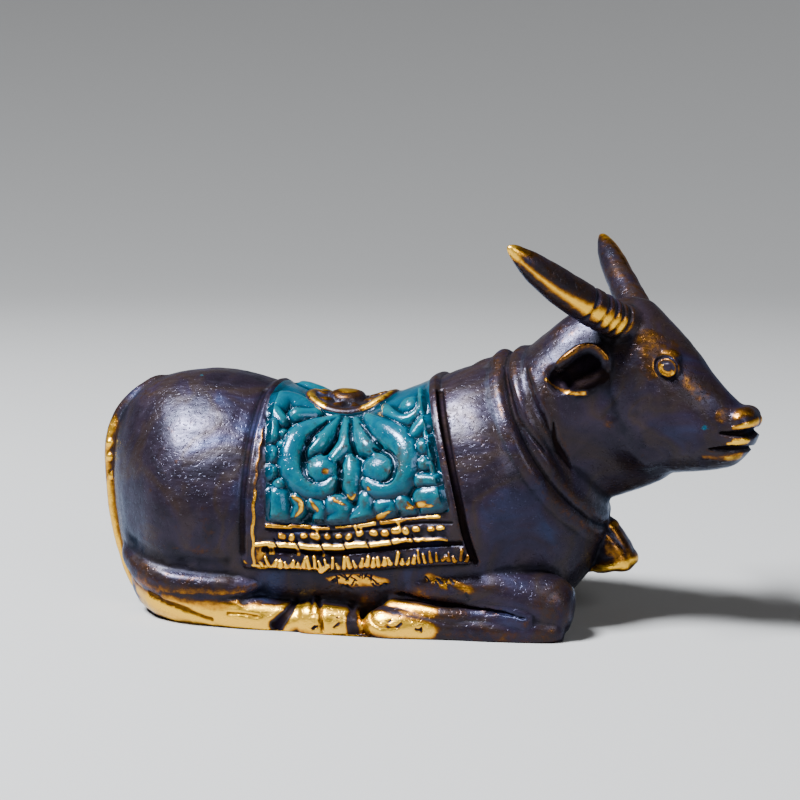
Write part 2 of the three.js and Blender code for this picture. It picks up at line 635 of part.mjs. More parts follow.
function figure() {
  const flesh = joined([trunk(), ...hindLegs(), ...forelegs(), ...neckAndHead()]);
  const skin = new THREE.Mesh(geometryOf(flesh), new THREE.MeshBasicMaterial({ side: THREE.DoubleSide }));
  const rightSide = [...scrollPanel(true), ...beads(), fringe(TASSEL_COUNT)];
  const leftSide = [...scrollPanel(false), fringe(TASSEL_COUNT / 2)].map(mirrored);
  const { add, cut } = ears();
  const harness = joined([collar(skin), bell(), cloth(), ...rightSide, ...leftSide, ...medallion()]);
  const ends = joined([...horns(), ...add, ...eyes(), ...tail()]);
  const whole = flesh.add(harness).add(ends).subtract(joined([...cut, ...mouth()]));
  const ground = new THREE.BoxGeometry(2 * LENGTH, 2 * LENGTH, LENGTH).translate(0, 0, -LENGTH / 2);
  return whole.subtract(solidOf(welded(ground)));
}

const shape = turnHead(geometryOf(figure()));
shape.computeBoundingBox();
const { min, max } = shape.boundingBox;
shape.translate(-(min.x + max.x) / 2, -(min.y + max.y) / 2, -min.z);
shape.computeVertexNormals();

const bronze = new THREE.MeshStandardMaterial({ color: 0x3a3640, roughness: 0.34, metalness: 0.85 });
const bull = new THREE.Mesh(shape, bronze);
bull.name = "nandi_bull";

const group = new THREE.Group();
group.add(bull);
export default group;
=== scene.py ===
"""A small cast brass Nandi, the lying bull: dark worn patina, brass where hands touch, turquoise paint on its
cloth."""
from math import cos, pi, radians, sin

import bpy
import numpy as np
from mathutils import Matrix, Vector
from mathutils.bvhtree import BVHTree


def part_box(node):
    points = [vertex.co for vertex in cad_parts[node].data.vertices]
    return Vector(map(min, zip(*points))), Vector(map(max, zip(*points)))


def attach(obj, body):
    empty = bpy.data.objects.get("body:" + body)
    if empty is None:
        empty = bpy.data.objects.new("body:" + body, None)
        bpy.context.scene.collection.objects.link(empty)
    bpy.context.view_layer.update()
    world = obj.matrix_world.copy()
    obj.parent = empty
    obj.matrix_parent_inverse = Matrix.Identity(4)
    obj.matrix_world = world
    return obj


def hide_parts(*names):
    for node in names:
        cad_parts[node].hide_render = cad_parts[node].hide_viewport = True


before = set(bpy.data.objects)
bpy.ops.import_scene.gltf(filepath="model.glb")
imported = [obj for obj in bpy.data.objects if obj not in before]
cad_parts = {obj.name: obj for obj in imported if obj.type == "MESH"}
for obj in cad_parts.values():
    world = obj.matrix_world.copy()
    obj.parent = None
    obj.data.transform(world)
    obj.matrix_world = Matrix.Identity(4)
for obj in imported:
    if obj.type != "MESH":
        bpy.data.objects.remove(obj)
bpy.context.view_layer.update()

cast_low, cast_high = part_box("nandi_bull")

# The camera stands at the bull's right side, a little forward of it and just above, and looks at the cloth.
VIEW_TURN, VIEW_RISE = radians(12), radians(8)
VIEW_DISTANCE = 0.4
VIEW_MIDDLE = Vector((-0.0055, 0, 0.0445))
IMAGE_SIDE, FOCAL_PIXELS = 800, 1888
toward_camera = Vector((
    sin(VIEW_TURN) * cos(VIEW_RISE),
    -cos(VIEW_TURN) * cos(VIEW_RISE),
    sin(VIEW_RISE),
))
bpy.ops.object.camera_add(
    location=VIEW_MIDDLE + VIEW_DISTANCE * toward_camera,
    rotation=(pi / 2 - VIEW_RISE, 0, VIEW_TURN),
)
camera = bpy.context.object
camera.data.sensor_width = 36
camera.data.lens = camera.data.sensor_width * FOCAL_PIXELS / IMAGE_SIDE
bpy.context.scene.camera = camera

# The bare bull. It was modelled in wax over a clay core: rounded masses for trunk, legs, neck and head,
# pressed together and smoothed with a warm tool. Lengths here are millimetres, +X to the muzzle, the right
# side at -Y, and the head still looks straight ahead.
MM = 0.001
UP = np.array((0, 0, 1.0))
FORWARD = np.array((1.0, 0, 0))


def smooth(low, high, value):
    share = np.clip((value - low) / (high - low), 0, 1)
    return share * share * (3 - 2 * share)


def read_rows(rows, at):
    """Reads a table smoothly at many places: the first number of each row is where the row stands."""
    rows = np.asarray(rows, float)
    at = np.atleast_1d(np.asarray(at, float))
    i = np.clip(np.searchsorted(rows[:, 0], at) - 1, 0, len(rows) - 2)
    a, b = rows[i], rows[i + 1]
    before, after = rows[np.maximum(i - 1, 0)], rows[np.minimum(i + 2, len(rows) - 1)]
    span = b[:, :1] - a[:, :1]
    t = np.clip((at[:, None] - a[:, :1]) / span, 0, 1)
    slope_a = (b - before) / (b[:, :1] - before[:, :1]) * span
    slope_b = (after - a) / (after[:, :1] - a[:, :1]) * span
    return (
        (2 * t**3 - 3 * t**2 + 1) * a
        + (t**3 - 2 * t**2 + t) * slope_a
        + (3 * t**2 - 2 * t**3) * b
        + (t**3 - t**2) * slope_b
    )


def corners(shape):
    """The corners of a mesh as an array, in millimetres."""
    flat = np.empty(len(shape.data.vertices) * 3)
    shape.data.vertices.foreach_get("co", flat)
    return flat.reshape(-1, 3) / MM


def move_corners(shape, places):
    shape.data.vertices.foreach_set("co", (np.asarray(places) * MM).ravel())
    shape.data.update()


def wax_ball(around, along):
    """A new ball of radius 1 with, for each corner, its share of the way from pole to pole and its turn."""
    bpy.ops.object.select_all(action="DESELECT")
    bpy.ops.mesh.primitive_uv_sphere_add(segments=around, ring_count=along)
    shape = bpy.context.object
    unit = corners(shape) * MM
    return shape, np.arccos(np.clip(-unit[:, 2], -1, 1)) / pi, np.arctan2(unit[:, 1], unit[:, 0])


def squared(value, boxy):
    """Turns a sine or cosine into that of a rounded square: boxy 2 is an ellipse, more is squarer."""
    return np.sign(value) * np.abs(value) ** (2 / boxy)


def mass(stations, around=48, along=48, up=UP, boxy=2, egg=0, spine=None):
    """A rounded form drawn out along a spine. Each station is [x, y, z, half height, half width]."""
    shape, way, turn = wax_ball(around, along)
    rows = [[i, x, y, z, high**2, wide**2] for i, (x, y, z, high, wide) in enumerate(stations)]
    last = len(rows) - 1
    t = (way + 0.5 - 0.5 * np.cos(pi * way)) / 2  # more rings near the ends
    middle = read_rows(rows, t * last)
    if spine is None:
        behind, ahead = (read_rows(rows, np.clip(t + step, 0, 1) * last) for step in (-0.01, 0.01))
        ahead = ahead - behind
        heading = ahead[:, 1:4] / np.linalg.norm(ahead[:, 1:4], axis=1, keepdims=True)
    else:
        heading = np.broadcast_to(spine, (len(t), 3))
    side = np.cross(heading, up)
    side /= np.linalg.norm(side, axis=1, keepdims=True)
    over = np.cross(side, heading)
    half = np.sqrt(np.maximum(middle[:, 4:6], 0)) * ((way > 1e-6) & (way < 1 - 1e-6))[:, None]
    wide = half[:, 1] * (1 + egg * np.sin(turn)) * squared(np.cos(turn), boxy)
    high = half[:, 0] * squared(np.sin(turn), boxy)
    move_corners(shape, middle[:, 1:4] + side * wide[:, None] + over * high[:, None])
    return shape


def ball(middle, half, around=32, along=24):
    """An ellipsoid, its middle and half sizes in millimetres."""
    shape, *_ = wax_ball(around, along)
    move_corners(shape, corners(shape) * MM * np.asarray(half) + np.asarray(middle))
    return shape


def other_side(stations):
    return [[x, -y, *rest] for x, y, *rest in stations]


def joined(shapes, name):
    """Several meshes as one object."""
    bpy.ops.object.select_all(action="DESELECT")
    for shape in shapes:
        shape.select_set(True)
    bpy.context.view_layer.objects.active = shapes[0]
    bpy.ops.object.join()
    shapes[0].name = name
    return shapes[0]


def finish_with(shape, kind, **settings):
    """Adds a modifier to a shape and applies it."""
    bpy.ops.object.select_all(action="DESELECT")
    shape.select_set(True)
    bpy.context.view_layer.objects.active = shape
    modifier = shape.modifiers.new(kind, kind)
    for key, value in settings.items():
        setattr(modifier, key, value)
    bpy.ops.object.modifier_apply(modifier=modifier.name)


# trunk: [x, height of the back, height of the belly, half width]
TRUNK = [
    [-68.6, 32, 32, 0], [-67.8, 38.4, 21, 7.4], [-64.8, 43.6, 7, 13], [-60.4, 47.4, -2, 17.6],
    [-53, 49.6, -4, 22.2], [-44, 49.9, -5, 23.4], [-34, 47.8, -5, 23.6], [-24, 44.4, -5, 23.6],
    [-14, 43.4, -5, 23.6], [-4, 46.8, -5, 23.6], [8, 51.8, -4, 23.6], [18, 52.8, -1, 22],
    [28, 50, 3, 17.4], [34, 43, 9, 11.6], [37.2, 34, 17, 6.2], [38.4, 26, 26, 0],
]
TRUNK_ROWS = [[x, (top + foot) / 2, ((top - foot) / 2) ** 2, wide**2] for x, top, foot, wide in TRUNK]
TRUNK_BOXY, TRUNK_EGG = 2.25, -0.1
SWELLS = [  # share of the width, x, z, length, height: haunch and shoulder
    [0.15, -45, 22, 17, 19],
    [0.07, 19, 26, 11, 18],
]


def swell_at(x, z):
    """How much wider than its table the trunk is, at the haunch and the shoulder."""
    parts = [
        share * np.exp(-(((x - middle_x) / long) ** 2) - ((z - middle_z) / high) ** 2)
        for share, middle_x, middle_z, long, high in SWELLS
    ]
    return 1 + sum(parts)


def trunk_point(x, turn, lift=0):
    """Points on the trunk at a turn round its section, from the right flank over the spine, lifted off it."""
    x, turn = np.broadcast_arrays(np.asarray(x, float), turn)
    _, middle, high2, wide2 = read_rows(TRUNK_ROWS, x.ravel()).T
    turn = turn.ravel()
    z = middle + (np.sqrt(np.maximum(high2, 0)) + lift) * squared(np.sin(turn), TRUNK_BOXY)
    wide = np.sqrt(np.maximum(wide2, 0)) * swell_at(x.ravel(), z) * (1 + TRUNK_EGG * np.sin(turn)) + lift
    return np.stack([x.ravel(), -wide * squared(np.cos(turn), TRUNK_BOXY), z], 1)


def trunk():
    shape, way, turn = wax_ball(96, 96)
    t = (0.6 * way + 0.4 * (0.5 - 0.5 * np.cos(pi * way))) * (len(TRUNK) - 1)
    x = np.interp(t, range(len(TRUNK)), [row[0] for row in TRUNK])
    places = trunk_point(x, turn)
    ends = (way < 1e-6) | (way > 1 - 1e-6)
    places[ends, 1:] = np.stack([np.zeros(ends.sum()), read_rows(TRUNK_ROWS, x[ends])[:, 1]], 1)
    move_corners(shape, places)
    return shape


HIND_FOOT = [
    [-58.8, -9, 8.6, 0, 0], [-56.6, -13.2, 8.2, 7.6, 5.6], [-52.2, -18.2, 6.2, 7, 5.8],
    [-46, -21.6, 4.4, 5.6, 5.2],
    [-36, -23, 2.8, 4.3, 4.3], [-28, -23.2, 1.8, 3.7, 3.8], [-22, -23.2, 1.4, 3.4, 3.5],
    [-20, -23.2, 1.4, 0, 0],
]
HIND_HOOF = [
    [-22.2, -23.2, 1.6, 0, 0], [-20.8, -23.2, 1.6, 3.9, 4.2], [-15, -23, 1.4, 3.9, 4.4],
    [-10.6, -22.6, 0.8, 3.6, 3.8], [-9.4, -22.4, 0.8, 0, 0],
]
THIGH_FOLD = [  # the ridge between thigh and foot that catches the light
    [-63.4, -10.6, 14.4, 0, 0], [-60.8, -15.4, 12, 2.8, 2.6], [-55.5, -20, 9.6, 3.6, 3.8],
    [-49.5, -23.2, 8.1, 3.6, 4],
    [-43, -23.8, 7.8, 3.3, 3.9], [-37, -23.6, 7.9, 2.9, 3.5], [-32.5, -23, 8.5, 1.8, 2.3],
    [-30, -22.4, 9, 0, 0],
]
FOREARM = [
    [-5, -15, 9.6, 0, 0], [0, -17, 9.6, 4.4, 5.6], [8, -18, 9.4, 5.2, 6.2], [18, -18.4, 8.6, 5.6, 6.2],
    [24, -18.6, 7, 6.2, 6.2], [28.8, -18.6, 5.8, 6.6, 6], [32.2, -18.6, 5.2, 4.8, 4.4],
    [33.6, -18.6, 5, 0, 0],
]
SHIN = [
    [31.8, -20.5, 2, 0, 0], [29, -21.4, 1.6, 3.2, 3.4], [20, -22.8, 1.4, 3.5, 3.4], [8, -23.4, 1.6, 3.6, 3.4],
    [0, -23.8, 1.8, 4, 4], [-5, -23.8, 1.6, 3.9, 4.2], [-9, -23.6, 1.4, 0, 0],
]
FORE_HOOF_X = -9
FAR_LEG_SHARE = 0.82  # the left foreleg is drawn back


def drawn_back(stations):
    return [[FORE_HOOF_X + (x - FORE_HOOF_X) * FAR_LEG_SHARE, *rest] for x, *rest in other_side(stations)]


def legs():
    hind = [mass(stations) for half in (HIND_FOOT, THIGH_FOLD) for stations in (half, other_side(half))]
    hooves = [mass(HIND_HOOF, boxy=2.8), mass(other_side(HIND_HOOF), boxy=2.8)]
    fore = [mass(stations) for stations in (FOREARM, SHIN, drawn_back(FOREARM), drawn_back(SHIN))]
    return hind + hooves + fore


def neck_and_head():
    neck = [
        [3, 0, 38, 0, 0], [9, 0, 38.6, 13.4, 9], [14, 0, 39.2, 15.2, 11.6], [20, 0, 40.2, 15.6, 16.4],
        [26, 0, 42.2, 18, 16.2], [32, 0, 44.4, 20.2, 13.6], [38, 0, 45.8, 20.6, 11],
        [45, 0, 47.6, 20, 9.2], [50, 0, 46.6, 16.4, 8.2], [55, 0, 42, 0, 0],
    ]
    head = [
        [36, 0, 52, 0, 0], [40, 0, 51, 13, 8.6], [46, 0, 49.6, 18, 10], [51, 0, 47.6, 16, 9.6],
        [56, 0, 45.4, 13.2, 8.2], [60.8, 0, 42.9, 9.9, 6.8], [65, 0, 41.4, 7, 5.6],
        [67.6, 0, 41.8, 4.8, 5.2], [69.4, 0, 42.4, 3, 4], [70.2, 0, 42.6, 0, 0],
    ]
    shapes = [mass(neck, egg=-0.1, spine=FORWARD), mass(head, egg=-0.04, spine=FORWARD)]
    shapes.append(ball((43, 0, 60.5), (6, 7.4, 7.2)))  # poll
    shapes.append(ball((67.4, 0, 44.2), (3, 5.2, 2.8)))  # nose
    shapes.append(ball((62.6, 0, 36.6), (4, 4.2, 2.8)))  # chin
    for side in (-1, 1):
        shapes.append(ball((48.6, side * 5.2, 43.4), (7, 4.4, 7.6)))  # cheek
        shapes.append(ball((46.4, side * 4.8, 37.6), (7, 4.2, 5)))  # throat
        shapes.append(ball((52.4, side * 5.4, 56.6), (3.2, 2, 1.5)))  # brow
    return shapes


HORN_ROOT = np.array((44.7, 4.4, 62.1))
HORN_REACH = np.array((-17.6, 22.6, 16.8))
HORN_RADIUS, LEFT_HORN_SHARE, HORN_SAG = 3.8, 0.84, 1.2


def horn_point(t, side):
    """The middle of a horn at a share of its length."""
    place = (HORN_ROOT + HORN_REACH * t) * (1, side, 1)
    place[2] -= HORN_SAG * sin(pi * t)
    return place


def horn(side):
    shares = [0.94, 1, 1.02, 1, 0.96, 0.88, 0.74, 0.5, 0]
    radius = HORN_RADIUS * (LEFT_HORN_SHARE if side > 0 else 1)
    stations = [[*horn_point(0, side), 0, 0]]
    for i, share in enumerate(shares):
        t = 1 - (1 - i / (len(shares) - 1)) ** 1.15
        stations.append([*horn_point(t, side), share * radius, share * radius])
    return mass(stations, around=40, along=64)


EAR_LENGTH, EAR_HEIGHT, EAR_THICKNESS = 13, 10, 4.4


def ear(side):
    """A leaf, hollowed on its outer side."""
    root, reach = np.array((42, 7.6, 54.6)), np.array((-0.86, 0.5, -0.1))
    reach /= np.linalg.norm(reach)
    outline = [[0, 0], [0.06, 0.6], [0.25, 0.96], [0.5, 0.98], [0.75, 0.66], [0.92, 0.28], [1, 0]]

    def leaf(scale, shift):
        stations = []
        for t, share in outline:
            place = (root + reach * t * EAR_LENGTH * scale + shift) * (1, side, 1)
            stations.append([*place, share * EAR_HEIGHT * scale / 2, share**0.5 * EAR_THICKNESS / 2])
        return mass(stations)

    whole, hollow = leaf(1, np.zeros(3)), leaf(0.78, np.array((-1.4, 2.3, 0)))
    finish_with(whole, "BOOLEAN", operation="DIFFERENCE", object=hollow, solver="EXACT")
    bpy.data.objects.remove(hollow)
    return whole


BELL_FOOT = np.array((39.6, 0, 10))
BELL_HEIGHT, BELL_RADIUS, BELL_LEAN = 11.5, 5, radians(-12)
BELL_AXIS = np.array((sin(BELL_LEAN), 0, cos(BELL_LEAN)))


def bell():
    """The bell under the collar: a flared lathe form that leans on the chest."""
    shares = [[0, 0], [0.02, 0.82], [0.12, 1], [0.26, 0.98], [0.46, 0.84], [0.72, 0.62], [0.9, 0.42], [1, 0]]
    stations = [
        [*(BELL_FOOT + BELL_AXIS * BELL_HEIGHT * high), BELL_RADIUS * wide, BELL_RADIUS * wide]
        for high, wide in shares
    ]
    return mass(stations, up=FORWARD, spine=BELL_AXIS)


def tail():
    rope = [
        [-56, 0, 47, 0], [-60, -0.6, 46.4, 1.9], [-66.4, -2.4, 41.6, 1.9], [-69, -4, 34, 1.9],
        [-68.6, -5.4, 25, 1.9], [-66.6, -7.4, 15, 1.9], [-62.4, -9.4, 5.4, 1.9], [-59, -11, 1, 0],
    ]
    return mass([[x, y, z, r, r] for x, y, z, r in rope], around=24, along=96, up=FORWARD)


EYE = np.array((53.9, 7, 54.7))
eyeballs = [ball(EYE * (1, side, 1), (2.1, 1.7, 1.9)) for side in (-1, 1)]
ears_and_horns = [make(side) for side in (-1, 1) for make in (horn, ear)]
bull = joined([trunk(), *legs(), *neck_and_head(), *ears_and_horns, *eyeballs, bell(), tail()], "bull")
CORNER_GAP = 0.45  # mm between corners after the masses are fused
finish_with(bull, "REMESH", mode="VOXEL", voxel_size=CORNER_GAP * MM)
finish_with(bull, "SMOOTH", factor=0.5, iterations=10)
for wave, depth in ((8, 0.5), (2.6, 0.14)):  # mm: what the hand leaves in wax
    unevenness = bpy.data.textures.new("unevenness", "CLOUDS")
    unevenness.noise_scale = wave * MM
    finish_with(bull, "DISPLACE", texture=unevenness, strength=depth * MM, mid_level=0.5)

# The modeller's tool. Each stroke raises or cuts the wax along a path, and says how far the crest of the
# stroke was later rubbed back to bright brass. Cuts and some other strokes are painted black as shade. Strokes
# that cross don't add up: the highest and the deepest count.
skin = {}
RUB_SPREAD = 1.6  # a rub stays full further out than the stroke's crest
SHADE_DEPTH = 1.2  # mm: a cut this deep is painted fully black as shade
NO_HEIGHT = 0.001  # mm: too low to see
OUTSIDE = 60  # mm: from inside the bull this reaches past its skin


def read_skin():
    """Reads the bull's corners and normals, and starts with no strokes on them."""
    normals = np.empty(len(bull.data.vertices) * 3)
    bull.data.vertices.foreach_get("normal", normals)
    skin["places"] = corners(bull)
    skin["normals"] = normals.reshape(-1, 3)
    skin["raised"] = np.zeros(len(skin["places"]))
    skin["cut"] = np.zeros(len(skin["places"]))
    skin["tree"] = BVHTree.FromObject(bull, bpy.context.evaluated_depsgraph_get())


def stroke(path, radius, height=0.0, edge=1.0, rub=0.0, facing=None, soot=0.0):
    """One stroke through points. Edge under 1 is crisp and over 1 is soft. A negative height cuts, and a deep
    cut is painted black as shade. A negative rub brings the patina back. Painted shade can also be asked for
    on skin that isn't cut, and with a direction in facing only skin that faces it takes the stroke."""
    path = np.atleast_2d(np.asarray(path, float))
    radii = np.broadcast_to(np.asarray(radius, float), (len(path),))
    if len(path) == 1:
        path, radii = np.repeat(path, 2, 0), np.repeat(radii, 2)
    places = skin["places"]
    reach = radii.max()
    within = np.flatnonzero(((places > path.min(0) - reach) & (places < path.max(0) + reach)).all(1))
    near, top = places[within], np.zeros(len(within))
    for a, b, r0, r1 in zip(path[:-1], path[1:], radii[:-1], radii[1:]):
        along = b - a
        t = np.clip((near - a) @ along / max(along @ along, 1e-9), 0, 1)
        r = np.maximum(r0 + (r1 - r0) * t, 1e-6)
        off = np.linalg.norm(near - a - t[:, None] * along, axis=1) / r
        top = np.maximum(top, np.clip(1 - off**2, 0, 1) ** edge * (r / reach) ** 0.5)
    if facing is not None:
        top = top * smooth(0, 0.4, skin["normals"][within] @ np.asarray(facing, float))
    if height > 0:
        skin["raised"][within] = np.maximum(skin["raised"][within], height * top)
    else:
        skin["cut"][within] = np.minimum(skin["cut"][within], height * top)
    # painted shade: black in deep cuts and wherever it is asked for
    blackness = np.clip(max(-height / SHADE_DEPTH, soot), 0, 1) * top
    skin["soot"][within] = np.maximum(skin["soot"][within], blackness)
    rubbed = rub * np.clip(top * RUB_SPREAD, 0, 1)
    if rub < 0:
        skin["rub"][within] *= 1 + rubbed
    else:
        skin["rub"][within] = np.maximum(skin["rub"][within], rubbed)


def touch(path, radius, **how):
    """A stroke that leaves the wax as it is, and only says where it is rubbed or painted black as shade."""
    stroke(path, radius, NO_HEIGHT, **how)


def press():
    """Moves the wax by what the strokes since the last press ask."""
    places = skin["places"] + skin["normals"] * (skin["raised"] + skin["cut"])[:, None]
    move_corners(bull, places)
    read_skin()


def on_skin(start, outward):
    """The place on the skin that is met first when coming from outside, towards a start point in the bull."""
    start, outward = Vector(start), Vector(outward).normalized()
    hit, *_ = skin["tree"].ray_cast((start + outward * OUTSIDE) * MM, -outward)
    return np.array(hit) / MM if hit else np.array(start)


def nearest(place):
    return np.array(skin["tree"].find_nearest(Vector(place) * MM)[0]) / MM


def curved(points, steps=6):
    """A smooth path through points, with so many steps between each two."""
    points = np.asarray(points, float)
    rows = np.concatenate([np.arange(len(points))[:, None], points], 1)
    return read_rows(rows, np.linspace(0, len(points) - 1, (len(points) - 1) * steps + 1))[:, 1:]


def refine(wanted):
    """Splits the faces whose middles are wanted, so that they can take finer strokes."""
    middles = np.empty(len(bull.data.polygons) * 3)
    bull.data.polygons.foreach_get("center", middles)
    chosen = wanted(middles.reshape(-1, 3) / MM)
    bpy.ops.object.mode_set(mode="EDIT")
    bpy.ops.mesh.select_mode(type="FACE")
    bpy.ops.mesh.select_all(action="DESELECT")
    bpy.ops.object.mode_set(mode="OBJECT")
    bull.data.polygons.foreach_set("select", chosen)
    bpy.ops.object.mode_set(mode="EDIT")
    bpy.ops.mesh.subdivide(number_cuts=1)
    bpy.ops.object.mode_set(mode="OBJECT")


# The saddle cloth. A thin sheet of wax laid over the back, with a carved panel on each side, a row of beads
# between two cords, and a fringe. Places on it are x along the back and s round it from the spine, where the
# right side has s above 0. Its foot rises in the middle and drops at the front.
CLOTH_LIFT = 0.9
CLOTH_ROUND = 25  # s over this is the turn round the trunk's section
CLOTH_REAR = -33
PANEL_FOOT, FRINGE_FOOT = 38.4, 47.4
HEM_RISE, HEM_FRONT_DROP = 1.3, 0.65
MEDALLION_X, MEDALLION_RADIUS = -16.6, 9.6


def front_edge(s):
    return 2.5 + 11.5 * (np.abs(s) / FRINGE_FOOT) ** 1.5


def panel_front(s):
    return front_edge(s) - 1.8


def panel_rear(s):
    return CLOTH_REAR + 1.2 + 3 * smooth(10, 38, np.abs(s))


def hem_drop(x, s):
    """How much lower than level the foot of the cloth hangs."""
    front = front_edge(FRINGE_FOOT)
    along = (x - (front + CLOTH_REAR) / 2) / ((front - CLOTH_REAR) / 2)
    drop = HEM_RISE * (along**2 - 1) + HEM_FRONT_DROP * (along**2 + along) / 2
    return np.sign(s) * drop * smooth(PANEL_FOOT / 2, PANEL_FOOT, np.abs(s))


def on_cloth(points, lift=CLOTH_LIFT, hung=True):
    x, s = np.atleast_2d(points).astype(float).T[:2]
    return trunk_point(x, pi / 2 - (s + hem_drop(x, s) * hung) / CLOTH_ROUND, lift)


def cloth_place(places):
    """The x and s of places near the trunk, and how far out they lie: 1 on the bare trunk."""
    x, y, z = np.asarray(places, float).T
    _, middle, high2, wide2 = read_rows(TRUNK_ROWS, x).T
    up = (z - middle) / np.sqrt(np.maximum(high2, 1e-6))
    sine = np.sign(up) * np.abs(up) ** (TRUNK_BOXY / 2)
    wide = np.sqrt(np.maximum(wide2, 1e-6)) * swell_at(x, z) * (1 + TRUNK_EGG * np.clip(sine, -1, 1))
    across = -y / wide
    cosine = np.sign(across) * np.abs(across) ** (TRUNK_BOXY / 2)
    turn = np.arctan2(sine, cosine)
    s = CLOTH_ROUND * (pi / 2 - np.where(turn < -pi / 2, turn + 2 * pi, turn))
    return x, s - hem_drop(x, s), np.hypot(sine, cosine)


def cloth_share(places, fade=0.35, grow=0.0):
    """1 on the cloth, fading to 0 at its edges."""
    x, s, out = cloth_place(places)
    share = smooth(CLOTH_REAR - grow - 3 * fade, CLOTH_REAR - grow + fade, x)
    share *= 1 - smooth(-fade, 2 * fade, x - front_edge(s) - grow)
    share *= 1 - smooth(-fade, fade, np.abs(s) - FRINGE_FOOT + 0.8 - grow)
    return share * (np.abs(out - 1) < 0.12)


def panel_share(places, fade=0.3):
    """1 on the carved panels and the back between them, 0 on the borders, bead rows and medallion."""
    x, s, out = cloth_place(places)
    share = smooth(-fade, fade, x - panel_rear(s))
    share *= 1 - smooth(-fade, fade, x - panel_front(s))
    share *= 1 - smooth(-fade, fade, np.abs(s) - PANEL_FOOT)
    share *= smooth(-fade, fade, np.hypot(x - MEDALLION_X, s) - MEDALLION_RADIUS - 0.4)
    return share * (np.abs(out - 1) < 0.16)


refine(lambda places: cloth_share(places, grow=2.6) > 0)
refine(lambda places: (places[:, 0] > 46) & (places[:, 2] > 33))  # the face
read_skin()
skin["rub"], skin["soot"] = np.zeros((2, len(skin["places"])))
skin["raised"] = CLOTH_LIFT * cloth_share(skin["places"])
skin["cut"] = -0.65 * panel_share(skin["places"], fade=1)
press()

# The carved panels. [x, s] from stem to tip and the radius at each: two scrolls that curl in to a ball and a
# disk under a fan of leaves, curls in the upper corners, lumps of foliage down both edges, and lobes along
# the foot.
SCROLLS = [
    ([(-17.4, 12), (-20.8, 15.4), (-23.4, 18.4), (-24.8, 21.8), (-25, 24.8), (-24, 27.6), (-22, 29.8),
      (-19.4, 30.9), (-17, 30.4), (-15.6, 28.8)], [1.4, 2.5, 3.1, 3.4, 3.4, 3.3, 3.2, 2.9, 2.5, 1.9]),
    ([(-10.6, 12.4), (-7.8, 16.6), (-4.2, 20.6), (-1.2, 24.6), (-0.2, 28.4), (-0.9, 31), (-3.2, 32.3),
      (-5.9, 31.8), (-8, 30.2)], [1.4, 2.6, 3.4, 3.7, 3.6, 3.4, 3.1, 2.8, 2.2]),
]
HEARTS = [([(-18, 26.6)], [4]), ([(-5.9, 28)], [4.3])]
LEAVES = [
    ([(-17, 12.8), (-18.2, 17), (-19.4, 20.2), (-20.9, 22.4)], [1.2, 2.1, 2.5, 1.7]),
    ([(-15.2, 12.6), (-14.3, 17), (-14.1, 20.6), (-15.9, 24)], [1.1, 1.9, 2.4, 2]),
    ([(-13, 12.8), (-11.2, 18), (-9.4, 21.4), (-8.2, 23.2)], [1.1, 2.2, 2.6, 1.9]),
    ([(-12.4, 24.2), (-11.7, 28), (-11.1, 31.6)], [1.6, 2.8, 1.9]),
]
CORNER_CURLS = [
    ([(-30, 13.4), (-28.9, 9.6), (-26, 9.1), (-22.6, 10.8)], [2.6, 3.3, 3.2, 2.2]),
    ([(-30.2, 15), (-28.2, 17.2)], [2.1, 1.9]),
    ([(-25.6, 13.4), (-22.2, 11.6)], [2.2, 2.1]), ([(-1.4, 13.9)], [3]),
    ([(-7, 11), (-5.6, 14.4), (-2.8, 17.6), (-0.4, 18.2), (1.2, 16.2), (0.8, 12.8)],
     [1.3, 1.7, 1.9, 1.8, 1.4, 1.1]),
    ([(2.4, 20.6), (0.6, 22.8)], [2.4, 2]),
]
EDGE_LUMPS = [
    ([(-29.6, 18.6), (-29.2, 21.4)], [2, 2.1]), ([(-27.4, 20.2)], [1.6]), ([(-28.8, 25.4)], [2.4]),
    ([(-27, 22.8)], [1.7]),
    ([(-28.4, 28.9)], [2.1]), ([(-26.4, 31)], [1.8]), ([(2.8, 26)], [2.3]),
    ([(4.2, 24.6), (4.9, 28.6)], [0.9, 0.9]),
    ([(3.4, 29.4)], [2.1]), ([(2.8, 32.2), (6, 33)], [2, 1.8]),
]
FOOT_LOBES = [
    ([(-26.6, 33.4), (-25.9, 36)], [3.1, 2.9]),
    ([(-22.8, 32.9), (-21.8, 34.2), (-22.8, 36.2)], [1.7, 1.9, 1.7]),
    ([(-19.6, 33.4), (-17.6, 34.2), (-17.8, 36)], [1.9, 1.9, 1.7]),
    ([(-15.2, 33.6), (-13.4, 34.6), (-14.6, 36)], [2.8, 2.9, 2.5]),
    ([(-8.2, 33.2), (-8.2, 35.2), (-10, 36.4)], [2.3, 2.6, 2.3]),
    ([(-5.2, 35), (-2.9, 35.3), (-4.4, 37)], [2.1, 2.1, 2]),
    ([(-0.9, 35.2), (0.6, 36.8)], [2.3, 2.1]), ([(4, 35.4), (6.4, 35.7), (4.8, 37.2)], [3, 2.8, 2.2]),
]
PANEL_GROOVES = [
    ([(-20.4, 19.4), (-22, 22.6), (-22, 25.6), (-21.2, 28.2), (-19.2, 29.6)], [0.5, 0.8, 0.9, 0.8, 0.4]),
    ([(-7.2, 23.6), (-4.2, 25.2), (-2.5, 27.5), (-2.3, 29.7), (-3.6, 31), (-5, 31)],
     [0.5, 0.8, 0.9, 0.9, 0.7, 0.4]),
    ([(-14.6, 25), (-13.9, 28), (-14.4, 31)], [0.6, 0.9, 0.6]),
    ([(-16.2, 14.6), (-16.4, 19.4), (-18, 23)], [0.4, 0.6, 0.6]),
    ([(-13.8, 14.6), (-12.8, 19.2), (-11.4, 23.4)], [0.4, 0.6, 0.6]),
    ([(-11.4, 15.2), (-8, 20.6), (-6, 23.2)], [0.4, 0.6, 0.5]),
    ([(-18.8, 14.4), (-21, 18.4), (-22, 21)], [0.4, 0.6, 0.6]),
]
